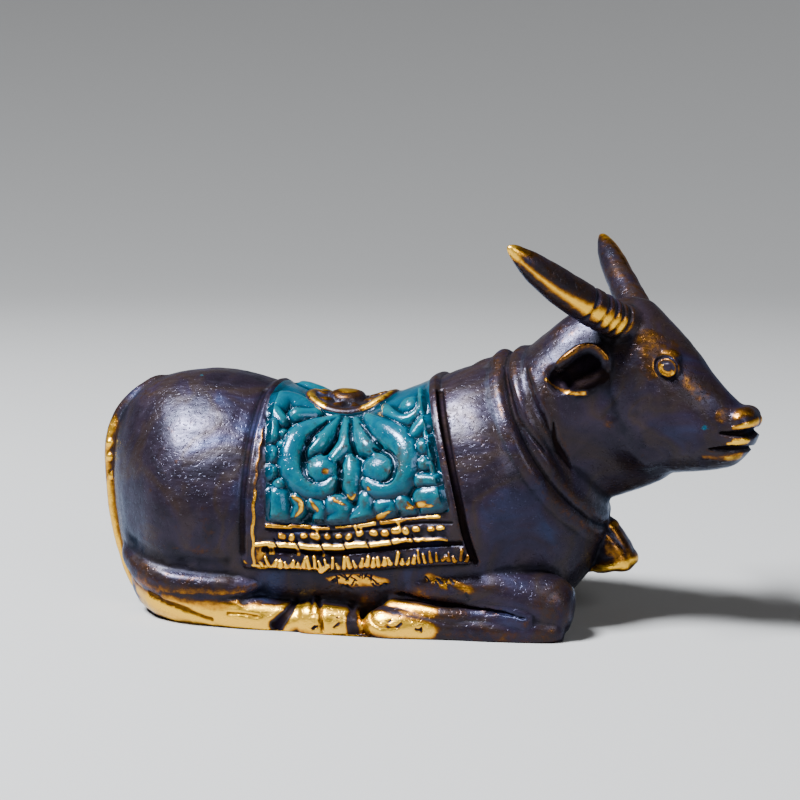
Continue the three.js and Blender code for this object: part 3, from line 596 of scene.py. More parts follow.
PANEL_RUBS = [  # where the paint is gone from the crests
    ([(-7.8, 37.3), (-5.4, 37.2), (-3.2, 36.6)], [0.5, 0.8, 0.5]),
    ([(0.8, 36.6), (3, 36.4), (5.6, 37)], [0.4, 0.7, 0.5]),
    ([(-23.6, 32.8), (-21.8, 33.4), (-21.6, 35), (-22.8, 36.4)], [0.3, 0.5, 0.5, 0.3]),
    ([(-12.2, 31.8), (-11.3, 32.7), (-10.3, 32)], [0.3, 0.4, 0.3]),
    ([(-19.8, 33), (-18.2, 34.6)], [0.25, 0.45]),
    ([(-15.4, 32.2), (-12.6, 33.6)], [0.2, 0.3]), ([(-7.6, 31.6)], [0.4]), ([(-17.2, 27.2)], [0.9]),
]


def carve(strokes, side, height, edge=0.75, rub=0.0):
    for points, radii in strokes:
        if len(points) > 1:
            points, radii = curved(points), curved([[r] for r in radii])[:, 0]
        stroke(on_cloth(np.array(points) * (1, side), CLOTH_LIFT - 0.5, hung=False), radii, height, edge, rub)


for side in (1, -1):
    carve(SCROLLS + HEARTS, side, 2.5)
    carve(LEAVES, side, 2.2)
    carve(CORNER_CURLS + EDGE_LUMPS + FOOT_LOBES, side, 2)
    # the grooves are cut, and painted dark as shade
    carve(PANEL_GROOVES, side, -0.9, edge=1)
    front_line = [(panel_front(s) - 1.6, s) for s in np.linspace(9, PANEL_FOOT - 1.6, 30)[::4]]
    carve([(front_line, [0.7] * len(front_line))], side, 1.4)
skin["raised"] *= panel_share(skin["places"], fade=0.6)
carve(PANEL_RUBS[:-1], 1, NO_HEIGHT, rub=0.8)
carve(PANEL_RUBS[-1:], 1, NO_HEIGHT, rub=0.42)

# The hem of the cloth: a cord, a row of beads, a second cord and a fringe of short tassels, each pressed on
# by hand. They stand proud, so their tops are rubbed to brass and the gaps between them keep the black
# patina; the grooves cut along them are also painted dark as shade.
BEADS, TASSELS = 15, 36
BEAD_ROW, LOWER_CORD, TASSEL_HEAD, TASSEL_FOOT = 40.3, 41.8, 43.2, 45.6
HEM_POINTS = 48  # along each row of the hem
CORD_BREAK = 36  # the point where the lower cord grows thin
hand = np.random.default_rng(7)


def along_hem(s, rear, front, count=HEM_POINTS):
    """Points along the foot of the cloth at s, from and to a distance within its rear and front edges."""
    return np.stack([np.linspace(CLOTH_REAR + rear, front_edge(s) - front, count), np.full(count, s)], 1)


for side in (1, -1):
    mirror = (1, side)
    upper = along_hem(PANEL_FOOT + 0.5, 4.6, 2.6) * mirror
    for first in range(0, HEM_POINTS, 6):  # the cord is worn in short lengths
        short = upper[first : first + hand.integers(4, 8)] + (0, hand.uniform(-0.2, 0.2))
        stroke(on_cloth(short), hand.uniform(0.3, 0.6), 0.5, edge=0.7, rub=hand.uniform(0.4, 0.95))
    lower = along_hem(LOWER_CORD, 2.4, 3.4) * mirror
    lower[:, 1] += np.convolve(hand.uniform(-0.35, 0.35, HEM_POINTS + 2), np.ones(3) / 3, "valid")
    thick, thin = lower[:CORD_BREAK], lower[CORD_BREAK - 2 :]
    radii = np.interp(range(CORD_BREAK), (0, 14, CORD_BREAK - 1), (0.5, 0.85, 0.7))
    stroke(on_cloth(thick), radii, 0.8, edge=0.6, rub=0.95)
    stroke(on_cloth(thin), np.linspace(0.6, 0.3, len(thin)), 0.7, edge=0.8, rub=0.6)
    for x in hand.uniform(-30, -16, 6):  # heads of tassels that run together with the cord
        head = np.array([(x, LOWER_CORD), (x + 0.2, LOWER_CORD + 1.3)]) * mirror
        stroke(on_cloth(head), 0.45, 0.6, rub=0.7)
    for nick in lower[4:44:6]:
        nick = nick + (hand.uniform(-1, 1), 0)
        stroke(on_cloth([nick - (0.5, 0.9), nick + (0.5, 0.9)]), 0.25, -0.4, rub=-0.8)
    # grooves above and below the beads, cut and painted dark as shade
    stroke(on_cloth(along_hem((LOWER_CORD + TASSEL_HEAD) / 2 + 0.2, 4, 1) * mirror), 0.75, -0.55)
    stroke(on_cloth(along_hem(BEAD_ROW - 0.7, 4.6, 1.8) * mirror), 0.5, -0.25)
    for bead in on_cloth(along_hem(BEAD_ROW, 7.4, 4.2, BEADS) * mirror, CLOTH_LIFT + 0.1):
        bead = bead + (hand.uniform(-0.4, 0.4), 0, hand.uniform(-0.25, 0.25))
        half_long = (hand.uniform(0, 0.5), 0, hand.uniform(-0.2, 0.2))
        ends = [bead - half_long, bead + half_long]
        stroke(ends, hand.uniform(0.55, 0.85), 0.75, edge=0.6, rub=hand.uniform(0.5, 1))
    for x in (-18.4, -10.4, -9.2, -1.6):  # drips of wax between cord and beads
        drip = np.array([(x, PANEL_FOOT + 0.6), (x + hand.uniform(-0.8, 0.8), BEAD_ROW)]) * mirror
        stroke(on_cloth(drip), 0.4, 0.5, edge=0.7, rub=0.8)
    for x in along_hem(TASSEL_FOOT, 3.6, 0.8, TASSELS)[:, 0]:
        length, slant = hand.uniform(0.6, 2.3), hand.uniform(-0.6, 0.6)
        ends = [(x + slant, TASSEL_FOOT - length), (x, TASSEL_FOOT - hand.uniform(0, 0.3))]
        rub = float(np.interp(x, (0, 5, 12), (1, 0.5, 0.3))) * hand.uniform(0.75, 1.05)
        radii = [hand.uniform(0.2, 0.5), hand.uniform(0.42, 0.72)]
        stroke(on_cloth(np.array(ends) * mirror), radii, 0.75, edge=0.6, rub=rub)
    stroke(on_cloth(along_hem(TASSEL_FOOT + 0.1, 1.6, 30, 16) * mirror), 0.4, 0.35, rub=0.8)
    clot = np.array([(-17.6, TASSEL_FOOT + 0.8), (-16, TASSEL_FOOT - 0.4)]) * mirror
    stroke(on_cloth(clot), 0.7, 0.7, rub=0.95)
    # the borders: a cord down the rear that ends in a bright corner, and a gap before the shoulder, cut and
    # painted dark as shade
    down = np.linspace(18, TASSEL_FOOT, 40)
    rear = np.array([(CLOTH_REAR + 1.8 + 0.15 * sin(s * 1.7), s) for s in down]) * mirror
    stroke(on_cloth(rear[:25]), 0.45, 0.25, rub=0.2)
    stroke(on_cloth(rear[22:]), 0.45, 0.3, rub=0.62)
    corner = [(CLOTH_REAR + 3.2, s) for s in np.linspace(LOWER_CORD, TASSEL_FOOT, 8)]
    stroke(on_cloth(np.array(corner) * mirror), 1.5, 0.2, rub=0.52)
    trail = np.array([(-2.4, -1), (1, 0), (4, 0.3)]) + (CLOTH_REAR, TASSEL_FOOT)
    stroke(on_cloth(trail * mirror, 0.4), [0.3, 0.5, 0.9], 0.15, rub=0.75)
    down = np.linspace(12, FRINGE_FOOT - 0.8, 40)
    stroke(on_cloth(np.stack([front_edge(down) + 0.4, side * down], 1), 0.3), 0.9, -0.9, edge=1.1)
    down = np.linspace(8, FRINGE_FOOT - 4, 40)
    stroke(on_cloth(np.stack([CLOTH_REAR - 0.6 + 0 * down, side * down], 1), 0.3), 1.4, -0.35, edge=1.5)

# The medallion on the spine: a rosette of petals round a flat knob, inside a broad rim that bends with the
# back. Hands rest on it, so its rim and the top of the knob are bare.
PETALS, KNOB_X, KNOB_RADIUS = 10, -17.6, 4


def round_medallion(radius, turn):
    return on_cloth(np.stack([MEDALLION_X + radius * np.cos(turn), radius * np.sin(turn)], 1))


def rim_arc(inset, middle, half, count):
    """Points along the medallion's rim, as far to one side of a turn as to the other."""
    return round_medallion(MEDALLION_RADIUS - inset, np.linspace(middle - half, middle + half, count))


stroke(round_medallion(MEDALLION_RADIUS - 0.9, np.linspace(0, 2 * pi, 60)), 1.2, 0.3, edge=0.6, rub=0.5)
for middle in (-pi / 2, pi / 2):
    stroke(rim_arc(0.9, middle, 1, 24), 1.2, 0.7, edge=0.6, rub=0.5)
for middle in (0.22 * pi, 0.78 * pi, -0.22 * pi, -0.78 * pi):
    touch(rim_arc(1, middle, 0.5, 12), 0.9, rub=1)
for middle in (-pi / 2, pi / 2):  # the rim keeps its black low on both sides
    stroke(rim_arc(1, middle, 0.3, 12), 1.8, -0.02, rub=-0.9)
for petal in range(PETALS):
    turn = np.full(3, 2 * pi * petal / PETALS)
    stroke(round_medallion(np.array((4.4, 6.2, 7.2)), turn), [0.9, 1.4, 1], 0.7, rub=0.3)
stroke(on_cloth([(KNOB_X, 0)]), KNOB_RADIUS, 2.3, edge=0.35, rub=0.15)
touch(on_cloth([(KNOB_X, 0)]), 2.9, rub=0.95)
press()

# The collar: a soft double fold of wax laid round the neck, from a bump on the crest down both sides to the
# bell on the chest. Its lower half is narrower and stands out less.
CREST, CHEST = np.array((18.4, 0, 54)), np.array((38.4, 0, 20))
COLLAR_SAG, COLLAR_STEPS = 3, 72
FOLD_OFFSET = 1.9  # from the collar's middle line to each fold
rise = (CREST - CHEST) / np.linalg.norm(CREST - CHEST)
ahead = np.cross((0, 1, 0), rise)
folds = {-1: [], 0: [], 1: []}
for step in range(COLLAR_STEPS + 1):
    turn = 2 * pi * step / COLLAR_STEPS
    out = rise * cos(turn) + np.array((0, -1, 0)) * sin(turn)
    narrow = 1 - 0.5 * float(smooth(0, -1, cos(turn)))
    for fold in folds:
        forward = FOLD_OFFSET * narrow * fold - COLLAR_SAG * abs(sin(turn))
        from_middle = (CREST + CHEST) / 2 + ahead * forward
        folds[fold].append(on_skin(from_middle, out))
LOW = slice(COLLAR_STEPS // 4, -COLLAR_STEPS // 4)  # the part of each fold below the middle of the neck
for fold, radius, height in ((-1, 2.6, 1), (1, 2.3, 0.8)):
    stroke(folds[fold][: LOW.start + 3], radius, height, edge=1.6)
    stroke(folds[fold][LOW.stop - 3 :], radius, height, edge=1.6)
    stroke(folds[fold][LOW], radius, 0.6 * height, edge=1.6)
stroke(folds[0], 0.9, -0.2, edge=1.6)


def over_skin(points, side, steps=6):
    """A smooth path over the skin through points of the left side, mirrored where side is -1."""
    return [nearest(place) for place in curved(np.array(points, float) * (1, side, 1), steps)]


def taper(path, shares, radii):
    """A radius for each point of a path, from radii at shares of its length."""
    return np.interp(np.linspace(0, 1, len(path)), shares, radii)


# The neck. Creases run down it from the collar, with folds of the dewlap below them, all pressed into the
# soft wax with the side of the tool.
CREASES = [
    [(17.4, 7, 52.6), (20, 13, 48.5), (23, 16, 43.5), (27.5, 15.5, 37)],
    [(23.6, 10, 52.4), (26.4, 13.6, 46.5), (29.6, 14, 40)],
    [(30.4, 14.4, 43), (30.4, 13.9, 38.8), (33, 12.4, 33.4)],
]
for side in (-1, 1):
    for crease in CREASES:
        path = over_skin(crease, side)
        # each crease is a cut, painted dark as shade
        stroke(path, taper(path, (0, 0.3, 0.7, 1), (0.6, 1.5, 1.5, 0.6)), -0.5, edge=1.7)

# The face, modelled with the tip of the tool: eyes with thin lids under a low brow, a soft nose, nostrils and
# a mouth that open towards the front, and lips. What stands out of it is worn to copper and brass.
RING_TURNS = np.linspace(0, 2 * pi, 33)


def round_eye(wide, high, out, side):
    """A path round an eye."""
    places = [EYE + (wide * cos(a), out, high * sin(a) - 0.1 * wide * cos(a)) for a in RING_TURNS]
    return [nearest(place * np.array((1, side, 1))) for place in places]


for side in (-1, 1):
    stroke(round_eye(2.5, 2.3, 0.8, side), 0.55, -0.3, edge=1.2)
    stroke(round_eye(1.95, 1.75, 1.2, side), 0.4, 0.4, edge=0.8, rub=0.2)
    stroke(round_eye(1.35, 1.2, 1.4, side)[15:29], 0.5, 0.05, edge=0.8, rub=0.85)
    brow = over_skin([(49.4, 8.2, 57.4), (51.8, 7, 58.2), (54.6, 5.4, 57.4)], side)
    stroke(brow, 1.6, 0.1, edge=1.6)
    behind_eye = over_skin([(45.6, 8.4, 60), (48, 9.4, 53.6), (48, 9.4, 46)], side)
    stroke(behind_eye, 2.6, -0.25, edge=2)
    jaw = over_skin([(42.6, 9, 42.4), (44.4, 8.6, 39.4), (48, 7, 35.8)], side)
    stroke(jaw, 3.2, 0.5, edge=2)
    # copper shows round the eye and on the bridge of the nose
    touch(over_skin([(47.6, 7.8, 58.8), (50, 6.8, 59.6), (53.4, 5.4, 57.6)], side), 3.4, rub=0.34)
    touch(over_skin([(48, 8.6, 57), (50.4, 8.3, 54.2)], side), 3, rub=0.3)
    touch(over_skin([(56.2, 6.2, 53.4), (60, 5.2, 49.8)], side), 2.8, rub=0.32)
    # nose, nostril, upper lip, mouth and chin
    nose = over_skin([(64, 4.8, 45.2), (66.2, 4.2, 46), (68.6, 2.2, 46.4)], side)
    stroke(nose, 2.4, 0.2, edge=1.6, rub=0.4)
    above = over_skin([(66.6, 5, 43.2), (68.8, 3.8, 43.8), (70.2, 1, 44.2)], side)
    stroke(above, np.linspace(0.6, 1.3, len(above)), 0.25, edge=1.8, rub=0.6)
    stroke(above[4:], 0.5, 0.05, rub=0.95)
    # the nostril and the mouth are cuts, painted black inside as shade
    nostril = [(64.2, 5.5, 42), (66.6, 5, 41.9), (68.8, 3.8, 42), (70.2, 1.6, 42.1), (70.8, 0, 42.2)]
    nostril = over_skin(nostril, side)
    stroke(nostril, taper(nostril, (0, 0.6, 1), (0.35, 1.3, 0.7)), -1.3, edge=0.9)
    lip = over_skin([(65.6, 5.4, 39.9), (67.6, 5, 40.3), (69, 4, 40.6)], side)
    stroke(lip, [0.5] * 4 + [1] * 9, 0.3, edge=1.6, rub=0.78)
    mouth = [(61.8, 5.8, 38.6), (64, 5.5, 38.7), (66.2, 5.1, 38.7), (68, 3.6, 38.6), (69, 0, 38.5)]
    mouth = over_skin(mouth, side)
    stroke(mouth, taper(mouth, (0, 0.65, 1), (0.35, 1.15, 0.7)), -1.3, edge=0.9)
    chin = over_skin([(60.4, 5.2, 36.9), (64.4, 4.6, 36.4), (66.8, 3.2, 36.6)], side)
    stroke(chin, np.linspace(1.2, 1.9, len(chin)), 0.2, edge=1.8, rub=0.34)
    stroke(chin[7:], 1.1, 0.05, edge=1.6, rub=0.85)

# The ears are thin leaves of wax, cupped with a round tool and cast in one with the head. Their hollows are
# painted black as shade, so they take no highlight, and their rims are rubbed.
for side in (-1, 1):
    cup = over_skin([(31.6, 12.8, 52), (35, 11.8, 53.2), (38, 10.6, 54.8)], side)
    stroke(cup, np.linspace(2.5, 3.5, len(cup)), -3.3, edge=0.6, facing=(0.3, side * 0.95, 0))
    # painted shade on the inner wall and the foot of the cup
    wall = over_skin([(32.4, 13.1, 51.4), (35.6, 11.4, 51.3), (37.8, 10.2, 51.6), (40, 9.9, 52.6)], side)
    touch(wall, 3.6, edge=0.3, facing=(0, 0, 1), soot=1)
    cup_foot = over_skin([(34.6, 11.8, 51.3), (37.8, 10.2, 51.7), (40.4, 9.9, 53)], side)
    touch(cup_foot, 1.9, edge=0.5, soot=1)
    lower_rim = over_skin([(28.8, 12.9, 51.4), (31, 12.6, 50), (34, 12.4, 49), (37.4, 11.4, 48.9)], side)
    stroke(lower_rim, np.linspace(0.5, 0.8, len(lower_rim)), 0.3, edge=1.5, rub=0.85)
    upper_rim = over_skin([(41.4, 9.7, 56.2), (38.7, 10.6, 58.6), (35.2, 12.6, 57), (31.4, 13.4, 54.2)], side)
    stroke(upper_rim, 1, 0.3, rub=0.24)

# The horns are cast in one with the head. They have low rings cut round their roots, and their front edges and
# tips are polished by handling.
for side in (-1, 1):
    for t in (0.09, 0.145, 0.2, 0.265, 0.36):  # shares of the horn's length
        axis = horn_point(t + 0.01, side) - horn_point(t - 0.01, side)
        axis /= np.linalg.norm(axis)
        across = np.cross(axis, UP)
        across /= np.linalg.norm(across)
        up_horn = np.cross(across, axis)
        ring = [
            horn_point(t, side) + HORN_RADIUS * (across * cos(a) + up_horn * sin(a))
            for a in np.linspace(0, 2 * pi, 25)
        ]
        stroke(ring, 0.6, -0.28, edge=0.9)
    beside = 5 * np.array((0, side, 0.1))
    stripe = [nearest(horn_point(t, side) + beside) for t in np.linspace(0.01, 1, 24)]
    widths = taper(stripe, (0, 0.25, 0.45, 0.8, 0.9, 1), (1.9, 1.5, 0.8, 0.5, 1.3, 2.8))
    touch(stripe, 1.5 * widths, edge=1.6, rub=0.62 if side < 0 else 0.4)
    touch(stripe, 0.75 * widths, edge=1.2, rub=1 if side < 0 else 0.5)
    outward = np.array((1, -0.35 * side, 0.1))
    shares = (0.15, 0.4, 0.7, 1)
    front = curved([horn_point(t, side) + HORN_RADIUS * (0.75 - 0.4 * t) * outward for t in shares])
    if side < 0:
        touch(front, np.linspace(0.8, 1.6, len(front)), rub=0.34)
    else:
        touch(front, np.linspace(1.8, 2.6, len(front)), edge=1.6, rub=0.5)
        touch(front[9:], 1.5, edge=1.6, rub=0.8)

# The bell hangs from the collar and is made like a turned one: a raised rim at its mouth with a groove above
# it, and a ring near its top. The rim is rubbed bright, and its side a little.
for height, radius, raised, rub in ((1.4, 5, 0.9, 1), (3.4, 4.8, -0.3, 0), (9.6, 2.4, 0.4, 0.4)):
    ring = [(cos(a) * cos(BELL_LEAN), sin(a), -cos(a) * sin(BELL_LEAN)) for a in RING_TURNS]
    stroke(BELL_FOOT + BELL_AXIS * height + radius * np.array(ring), 0.9, 0.4 * raised, rub=rub)
touch([BELL_FOOT + BELL_AXIS * 1.4, BELL_FOOT + BELL_AXIS * 6], [8, 5], rub=0.36)

# The legs: cleft hooves with cracks round them, a crease that frees the shin from the forearm, folds at the
# heel, and everything low and outward rubbed to brass where the bull slides on its shelf.
SHIN_CREASE = [(-2, 22.6, 7.4), (4.9, 22.6, 6.9), (13.7, 23, 6.3), (19.2, 23.6, 6), (24.8, 24.1, 5)]
SHIN_RIDGE = [(-3, 22.6, 6), (7.3, 24.7, 4.8), (13.7, 23.6, 4.9), (19.1, 23.6, 4.7), (24.2, 23.9, 4.3)]
CREASE_RADII = [0.4] + [0.6] * 20 + [0.5, 0.4, 0.35, 0.3]
LEG_CUTS = [  # points, radius, height, edge
    ([(-19, 21.4, 5.4), (-17.4, 25.6, 4), (-16.6, 27.2, 1)], 0.6, -0.7, 0.7),  # the cleft of the hind hoof
    ([(-20.3, 22, 5.4), (-18.6, 26.4, 3.4)], 0.4, -0.4, 0.9),
    ([(-5.6, 20.4, 5.4), (-6.6, 25.6, 3.6), (-4.6, 27, 2.2), (-1, 27.7, 2.4)], 0.4, -0.3, 0.9),
    ([(-54, 23.6, 5.7), (-49.1, 25.6, 4.4), (-43.7, 26.4, 2.8), (-40.3, 26.5, 1.7)], 1.1, -0.4, 1.5),  # heel
    ([(-36.7, 27.1, 3.1), (-34, 26.9, 3.3), (-30.2, 26.8, 2.8)], 0.35, -0.4, 1),
]
THIGH_EDGE = np.array([
    (-60, 17.6, 12.2), (-55.6, 22, 11), (-49.4, 25.6, 9.8), (-43, 26.4, 9.6), (-37, 26, 9.8),
])
for side in (-1, 1):
    share = 1 if side < 0 else FAR_LEG_SHARE
    crease, ridge = (
        [(FORE_HOOF_X + (x - FORE_HOOF_X) * share, y, z) for x, y, z in line]
        for line in (SHIN_CREASE, SHIN_RIDGE)
    )
    # the crease over the shin is cut and painted dark as shade
    stroke(over_skin(crease, side), CREASE_RADII, -0.7, edge=0.9)
    stroke(over_skin(ridge, side), 2.1, 1.1, edge=1.3, rub=-0.08)
    for points, radius, height, edge in LEG_CUTS:
        stroke(over_skin(points, side), radius, height, edge)
    # the crests that catch the light along the foot, and what is bare below them
    stroke(over_skin(THIGH_EDGE + (0, 0, 4), side), 2.4, -0.3, edge=2)
    stroke(over_skin(THIGH_EDGE[1:], side), 1.6, 0.2, edge=1.6)
    low = [(-57, 19.5, 5.6), (-50, 24, 4), (-42, 26.2, 2.6), (-34, 26.6, 2.4), (-25.6, 25.8, 2.2)]
    touch(over_skin(low, side), np.linspace(2.2, 3.6, 25), rub=1)
    if side < 0:
        under_tail = [(-67.4, 8.6, 14.8), (-65.1, 10, 11), (-60.5, 16.9, 8), (-56.8, 21.5, 6.4)]
        touch(over_skin(under_tail, side), 1.8, edge=1.4, rub=0.9)
    stroke(over_skin([(-50, 25, 6), (-44, 26.2, 5.4), (-35, 26.2, 5.2)], side), 1.5, 0.5, edge=1.6, rub=0.4)
    touch(over_skin([(-56, 22, 8), (-44, 27, 6.6), (-31, 25.4, 5.8)], side), 2.6, edge=1.6, rub=0.24)
    under_heel = [(-57.6, 19.4, 2), (-56, 21, 3), (-52.4, 23.4, 2), (-48.5, 24.2, 1), (-44, 25.2, 0.8)]
    touch(over_skin(under_heel, side), 2.4, edge=1.4, rub=0.8)
    touch(over_skin([(-22, 25, 3), (-12, 25.4, 2.2)], side), 4.2, rub=1)
    fore_hoof = over_skin([(-9, 24.4, 2.4), (-2, 26.6, 2.2), (5, 26.8, 1.8)], side)
    touch(fore_hoof, np.linspace(3.6, 2.4, len(fore_hoof)), edge=1.6, rub=0.95)
    # black patina stays between foot and hoof, between the hooves and in the cracks, and these cuts are
    # painted darker as shade
    behind_hoof = over_skin([(-23.6, 20.4, 4.9), (-24, 25, 3.8), (-26.4, 26.8, 1)], side)
    stroke(behind_hoof, np.linspace(0.5, 2, len(behind_hoof)), -0.8, rub=-1)
    between_hooves = over_skin([(-11.6, 22, 5), (-10.6, 26, 3), (-10.2, 26.6, 0.6)], side)
    stroke(between_hooves, [1] * 5 + [1.7] * 8, -0.5, rub=-1)
    for crack in range(9):
        x, y, z = hand.uniform(-24, 4), 26.6, hand.uniform(0.8, 4.2)
        line = [(x, y, z), (x + hand.uniform(-1.6, 1.6), y, z + hand.uniform(-0.8, 0.8))]
        stroke(over_skin(line, side, 3), 0.3, -0.3, rub=-0.9)
    # worn patches on the forearm, hatched by fine scratches that stay dark
    touch(over_skin([(-6.9, 21.4, 5), (-0.4, 25, 5.4), (5.6, 25.6, 4.6)], side), 1.3, rub=0.5)
    touch(over_skin([(4.6, 22.9, 12), (8.2, 23.4, 10.7)], side), 1.5, edge=1.8, rub=0.56)
    touch(over_skin([(9, 23.5, 11.4), (13, 24, 9.8)], side), 1.1, edge=1.8, rub=0.42)
    for hatch in range(12):
        x = hand.uniform(3.6, 12.6)
        z = 13.4 - 0.3 * x + hand.uniform(-1, 1)
        stroke(over_skin([(x, 23.4, z), (x + 0.9, 23.6, z - 1)], side, 3), 0.22, -0.2, rub=-0.7)
    # and one on the belly under the fringe
    mirror = (1, -side)
    belly = np.array([(-16.6, 47.2), (-12, 47.4), (-8, 47.8), (-3.8, 48.4)]) * mirror
    touch(on_cloth(belly, 0, hung=False), [0.6, 1.9, 1.8, 0.9], edge=1.8, rub=0.8)
    for hatch in range(28):
        x, s, run = hand.uniform(-15, -4), hand.uniform(46, 49), hand.uniform(-1.4, 1.4)
        line = np.array([(x, s), (x + run, s + hand.uniform(0.5, 1.4))]) * mirror
        stroke(on_cloth(line, 0, hung=False), 0.2, -0.25, rub=-0.8)

# The tail is a rope of wax that lies down the rump and under it, with knots where it bends. It stands furthest
# out behind, and its right edge is worn to brass.
worn_tail = curved([(-68.4, -6.2, 38), (-69, -7, 30), (-67, -9, 20), (-63.6, -12, 11)])
touch([nearest(place) for place in worn_tail], 2.4, rub=0.62)
tail_foot = curved([(-68.4, -6.2, 25), (-67, -8, 17), (-64.8, -9.6, 10.5), (-61.6, -11, 5)])
touch([nearest(place) for place in tail_foot], 2.3, rub=0.9)
for knot in ((-69.4, -5.8, 34), (-69.2, -6.6, 31), (-68.6, -7.2, 27)):
    stroke([nearest(knot)], 1.1, 0.5, rub=0.9)
press()

# The casting. The head is turned to the right on the bent neck, the underside is cut flat, and the whole sits
# where the frame has it.
HEAD_TURN, NECK_PIVOT = radians(14), 20
TURN_FROM, TURN_TO = np.array((14, 20)), np.array((46, 42))  # x and z where the turn starts and is full
PAINT_DROPS = ((61.2, -6.5, 43.3), (-48.6, -5.8, 48.6))  # on the lip and on the rump
wax = skin["places"]
x, y, z = np.concatenate([wax, PAINT_DROPS]).T
lean = x + (z - TURN_TO[1]) * 0.4
turn = -smooth(TURN_FROM[0], TURN_TO[0], lean) * smooth(TURN_FROM[1], TURN_TO[1], z) * HEAD_TURN
x = x - NECK_PIVOT
turned_x = NECK_PIVOT + x * np.cos(turn) - y * np.sin(turn)
turned = np.stack([turned_x, x * np.sin(turn) + y * np.cos(turn), z], 1)
cast, drops = turned[: len(wax)], turned[len(wax) :]

edges = np.empty(len(bull.data.edges) * 2, int)
bull.data.edges.foreach_get("vertices", edges)
ends, other_ends = np.concatenate([edges.reshape(-1, 2), edges.reshape(-1, 2)[:, ::-1]]).T
neighbours = np.bincount(ends, minlength=len(wax))


def spread(values, times):
    """Evens values out over the skin: each corner takes the mean of its neighbours, so many times."""
    for _ in range(times):
        values = np.stack([np.bincount(ends, column[other_ends]) / neighbours for column in values.T], 1)
    return values


HOLLOW_DEPTHS = ((6, 0.1), (40, 0.5))  # steps and mm: small and larger hollows, where wax and dirt stay and shade is painted
JAW_CREASE = [(43, 8.7, 38.6), (44, 8, 36.2), (45.5, 6.5, 33.7), (47.8, 5.4, 32.9)]
EAR_MIDDLE, EAR_REACH = (35, 12, 53.5), (8, 2.6, 5)
sunk = sum(((spread(wax, steps) - wax) * skin["normals"]).sum(1) / depth for steps, depth in HOLLOW_DEPTHS)
one_side = np.column_stack([wax[:, 0], np.abs(wax[:, 1]), wax[:, 2]])
near_ears = (np.abs(one_side - EAR_MIDDLE) < EAR_REACH).all(1)
from_crease = np.min([np.linalg.norm(one_side - spot, axis=1) for spot in JAW_CREASE], axis=0)
jaw_share = smooth(5.5, 2, from_crease)
wiped = spread(cast, 3)
cast += (spread(cast, 40) - cast) * jaw_share[:, None]  # the wax under the jaw was smoothed with the thumb
cast[near_ears] = wiped[near_ears]  # the cupped ears were wiped smooth
# the hollows under the jaw take less painted shade
sunk *= 1 - 0.8 * jaw_share
soot = np.clip(skin["soot"], 0, 1)
# hollow: how sunk the skin is, and 2 where painted shade is asked for
surface = {
    "rub": skin["rub"],
    "paint": panel_share(wax),
    "hollow": np.clip(sunk, -1, 1) * (1 - soot) + 2 * soot,
}
for name, values in surface.items():
    bull.data.attributes.new(name, "FLOAT", "POINT").data.foreach_set("value", values.astype(np.float32))
move_corners(bull, cast)
bpy.ops.object.mode_set(mode="EDIT")
bpy.ops.mesh.select_all(action="SELECT")
bpy.ops.mesh.bisect(plane_co=(0, 0, 0), plane_no=(0, 0, 1), clear_inner=True, use_fill=True)
bpy.ops.object.mode_set(mode="OBJECT")
MOST_TRIANGLES = 196000
finish_with(bull, "TRIANGULATE")
finish_with(bull, "DECIMATE", ratio=MOST_TRIANGLES / max(len(bull.data.polygons), MOST_TRIANGLES))
cast = corners(bull)
box_low, box_high = cast.min(0), cast.max(0)
cast_middle = np.array([*((cast_low + cast_high) / 2 / MM)[:2], cast_low[2] / MM])
shift = cast_middle - (*((box_low + box_high) / 2)[:2], box_low[2])
cast += shift
drops += shift
move_corners(bull, cast)
bpy.ops.object.shade_smooth()
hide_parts("nandi_bull")
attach(bull, "root")

# The finish of the casting: brass turned nearly black by a hot patina and then waxed, blue-black with purple
# and brown clouds and sharp glints. Handling has bared copper-brown and then yellow brass on what stands out,
# the hollows are darkened, partly as grime and partly as painted shade, and thick turquoise paint lies on the
# panels, worn off a few crests.


def colour(code):
    """A hex colour as Blender wants it, linear."""
    values = [int(code[i : i + 2], 16) / 255 for i in (1, 3, 5)]
    return [v / 12.92 if v <= 0.04045 else ((v + 0.055) / 1.055) ** 2.4 for v in values] + [1]


finish = bpy.data.materials.new("patinated_brass")
finish.use_nodes = True
nodes, links = finish.node_tree.nodes, finish.node_tree.links
shader = nodes["Principled BSDF"]
shader.inputs["Specular IOR Level"].default_value = 0.4
# a painted blue sheen: the reflections are tinted blue to stand in for cool light in the highlights
shader.inputs["Specular Tint"].default_value = colour("#c2daff")


def add(kind, inputs=(), out=None, stops=(), **settings):
    """Adds a node, sets it up, sets or links its inputs, and gives the output asked for or the first one."""
    node = nodes.new("ShaderNode" + kind)
    for key, value in settings.items():
        setattr(node, key, value)
    for place, code in stops[1:-1]:
        node.color_ramp.elements.new(place)
    for i, (place, code) in enumerate(stops):
        node.color_ramp.elements[i].position = place
        node.color_ramp.elements[i].color = colour(code)
    for key, value in dict(inputs).items():
        named = (s for s in node.inputs if s.enabled and s.name == key)
        socket = node.inputs[key] if isinstance(key, int) else next(named)
        if isinstance(value, bpy.types.NodeSocket):
            links.new(value, socket)
        else:
            socket.default_value = value
    return node.outputs[out] if out else next(s for s in node.outputs if s.enabled)


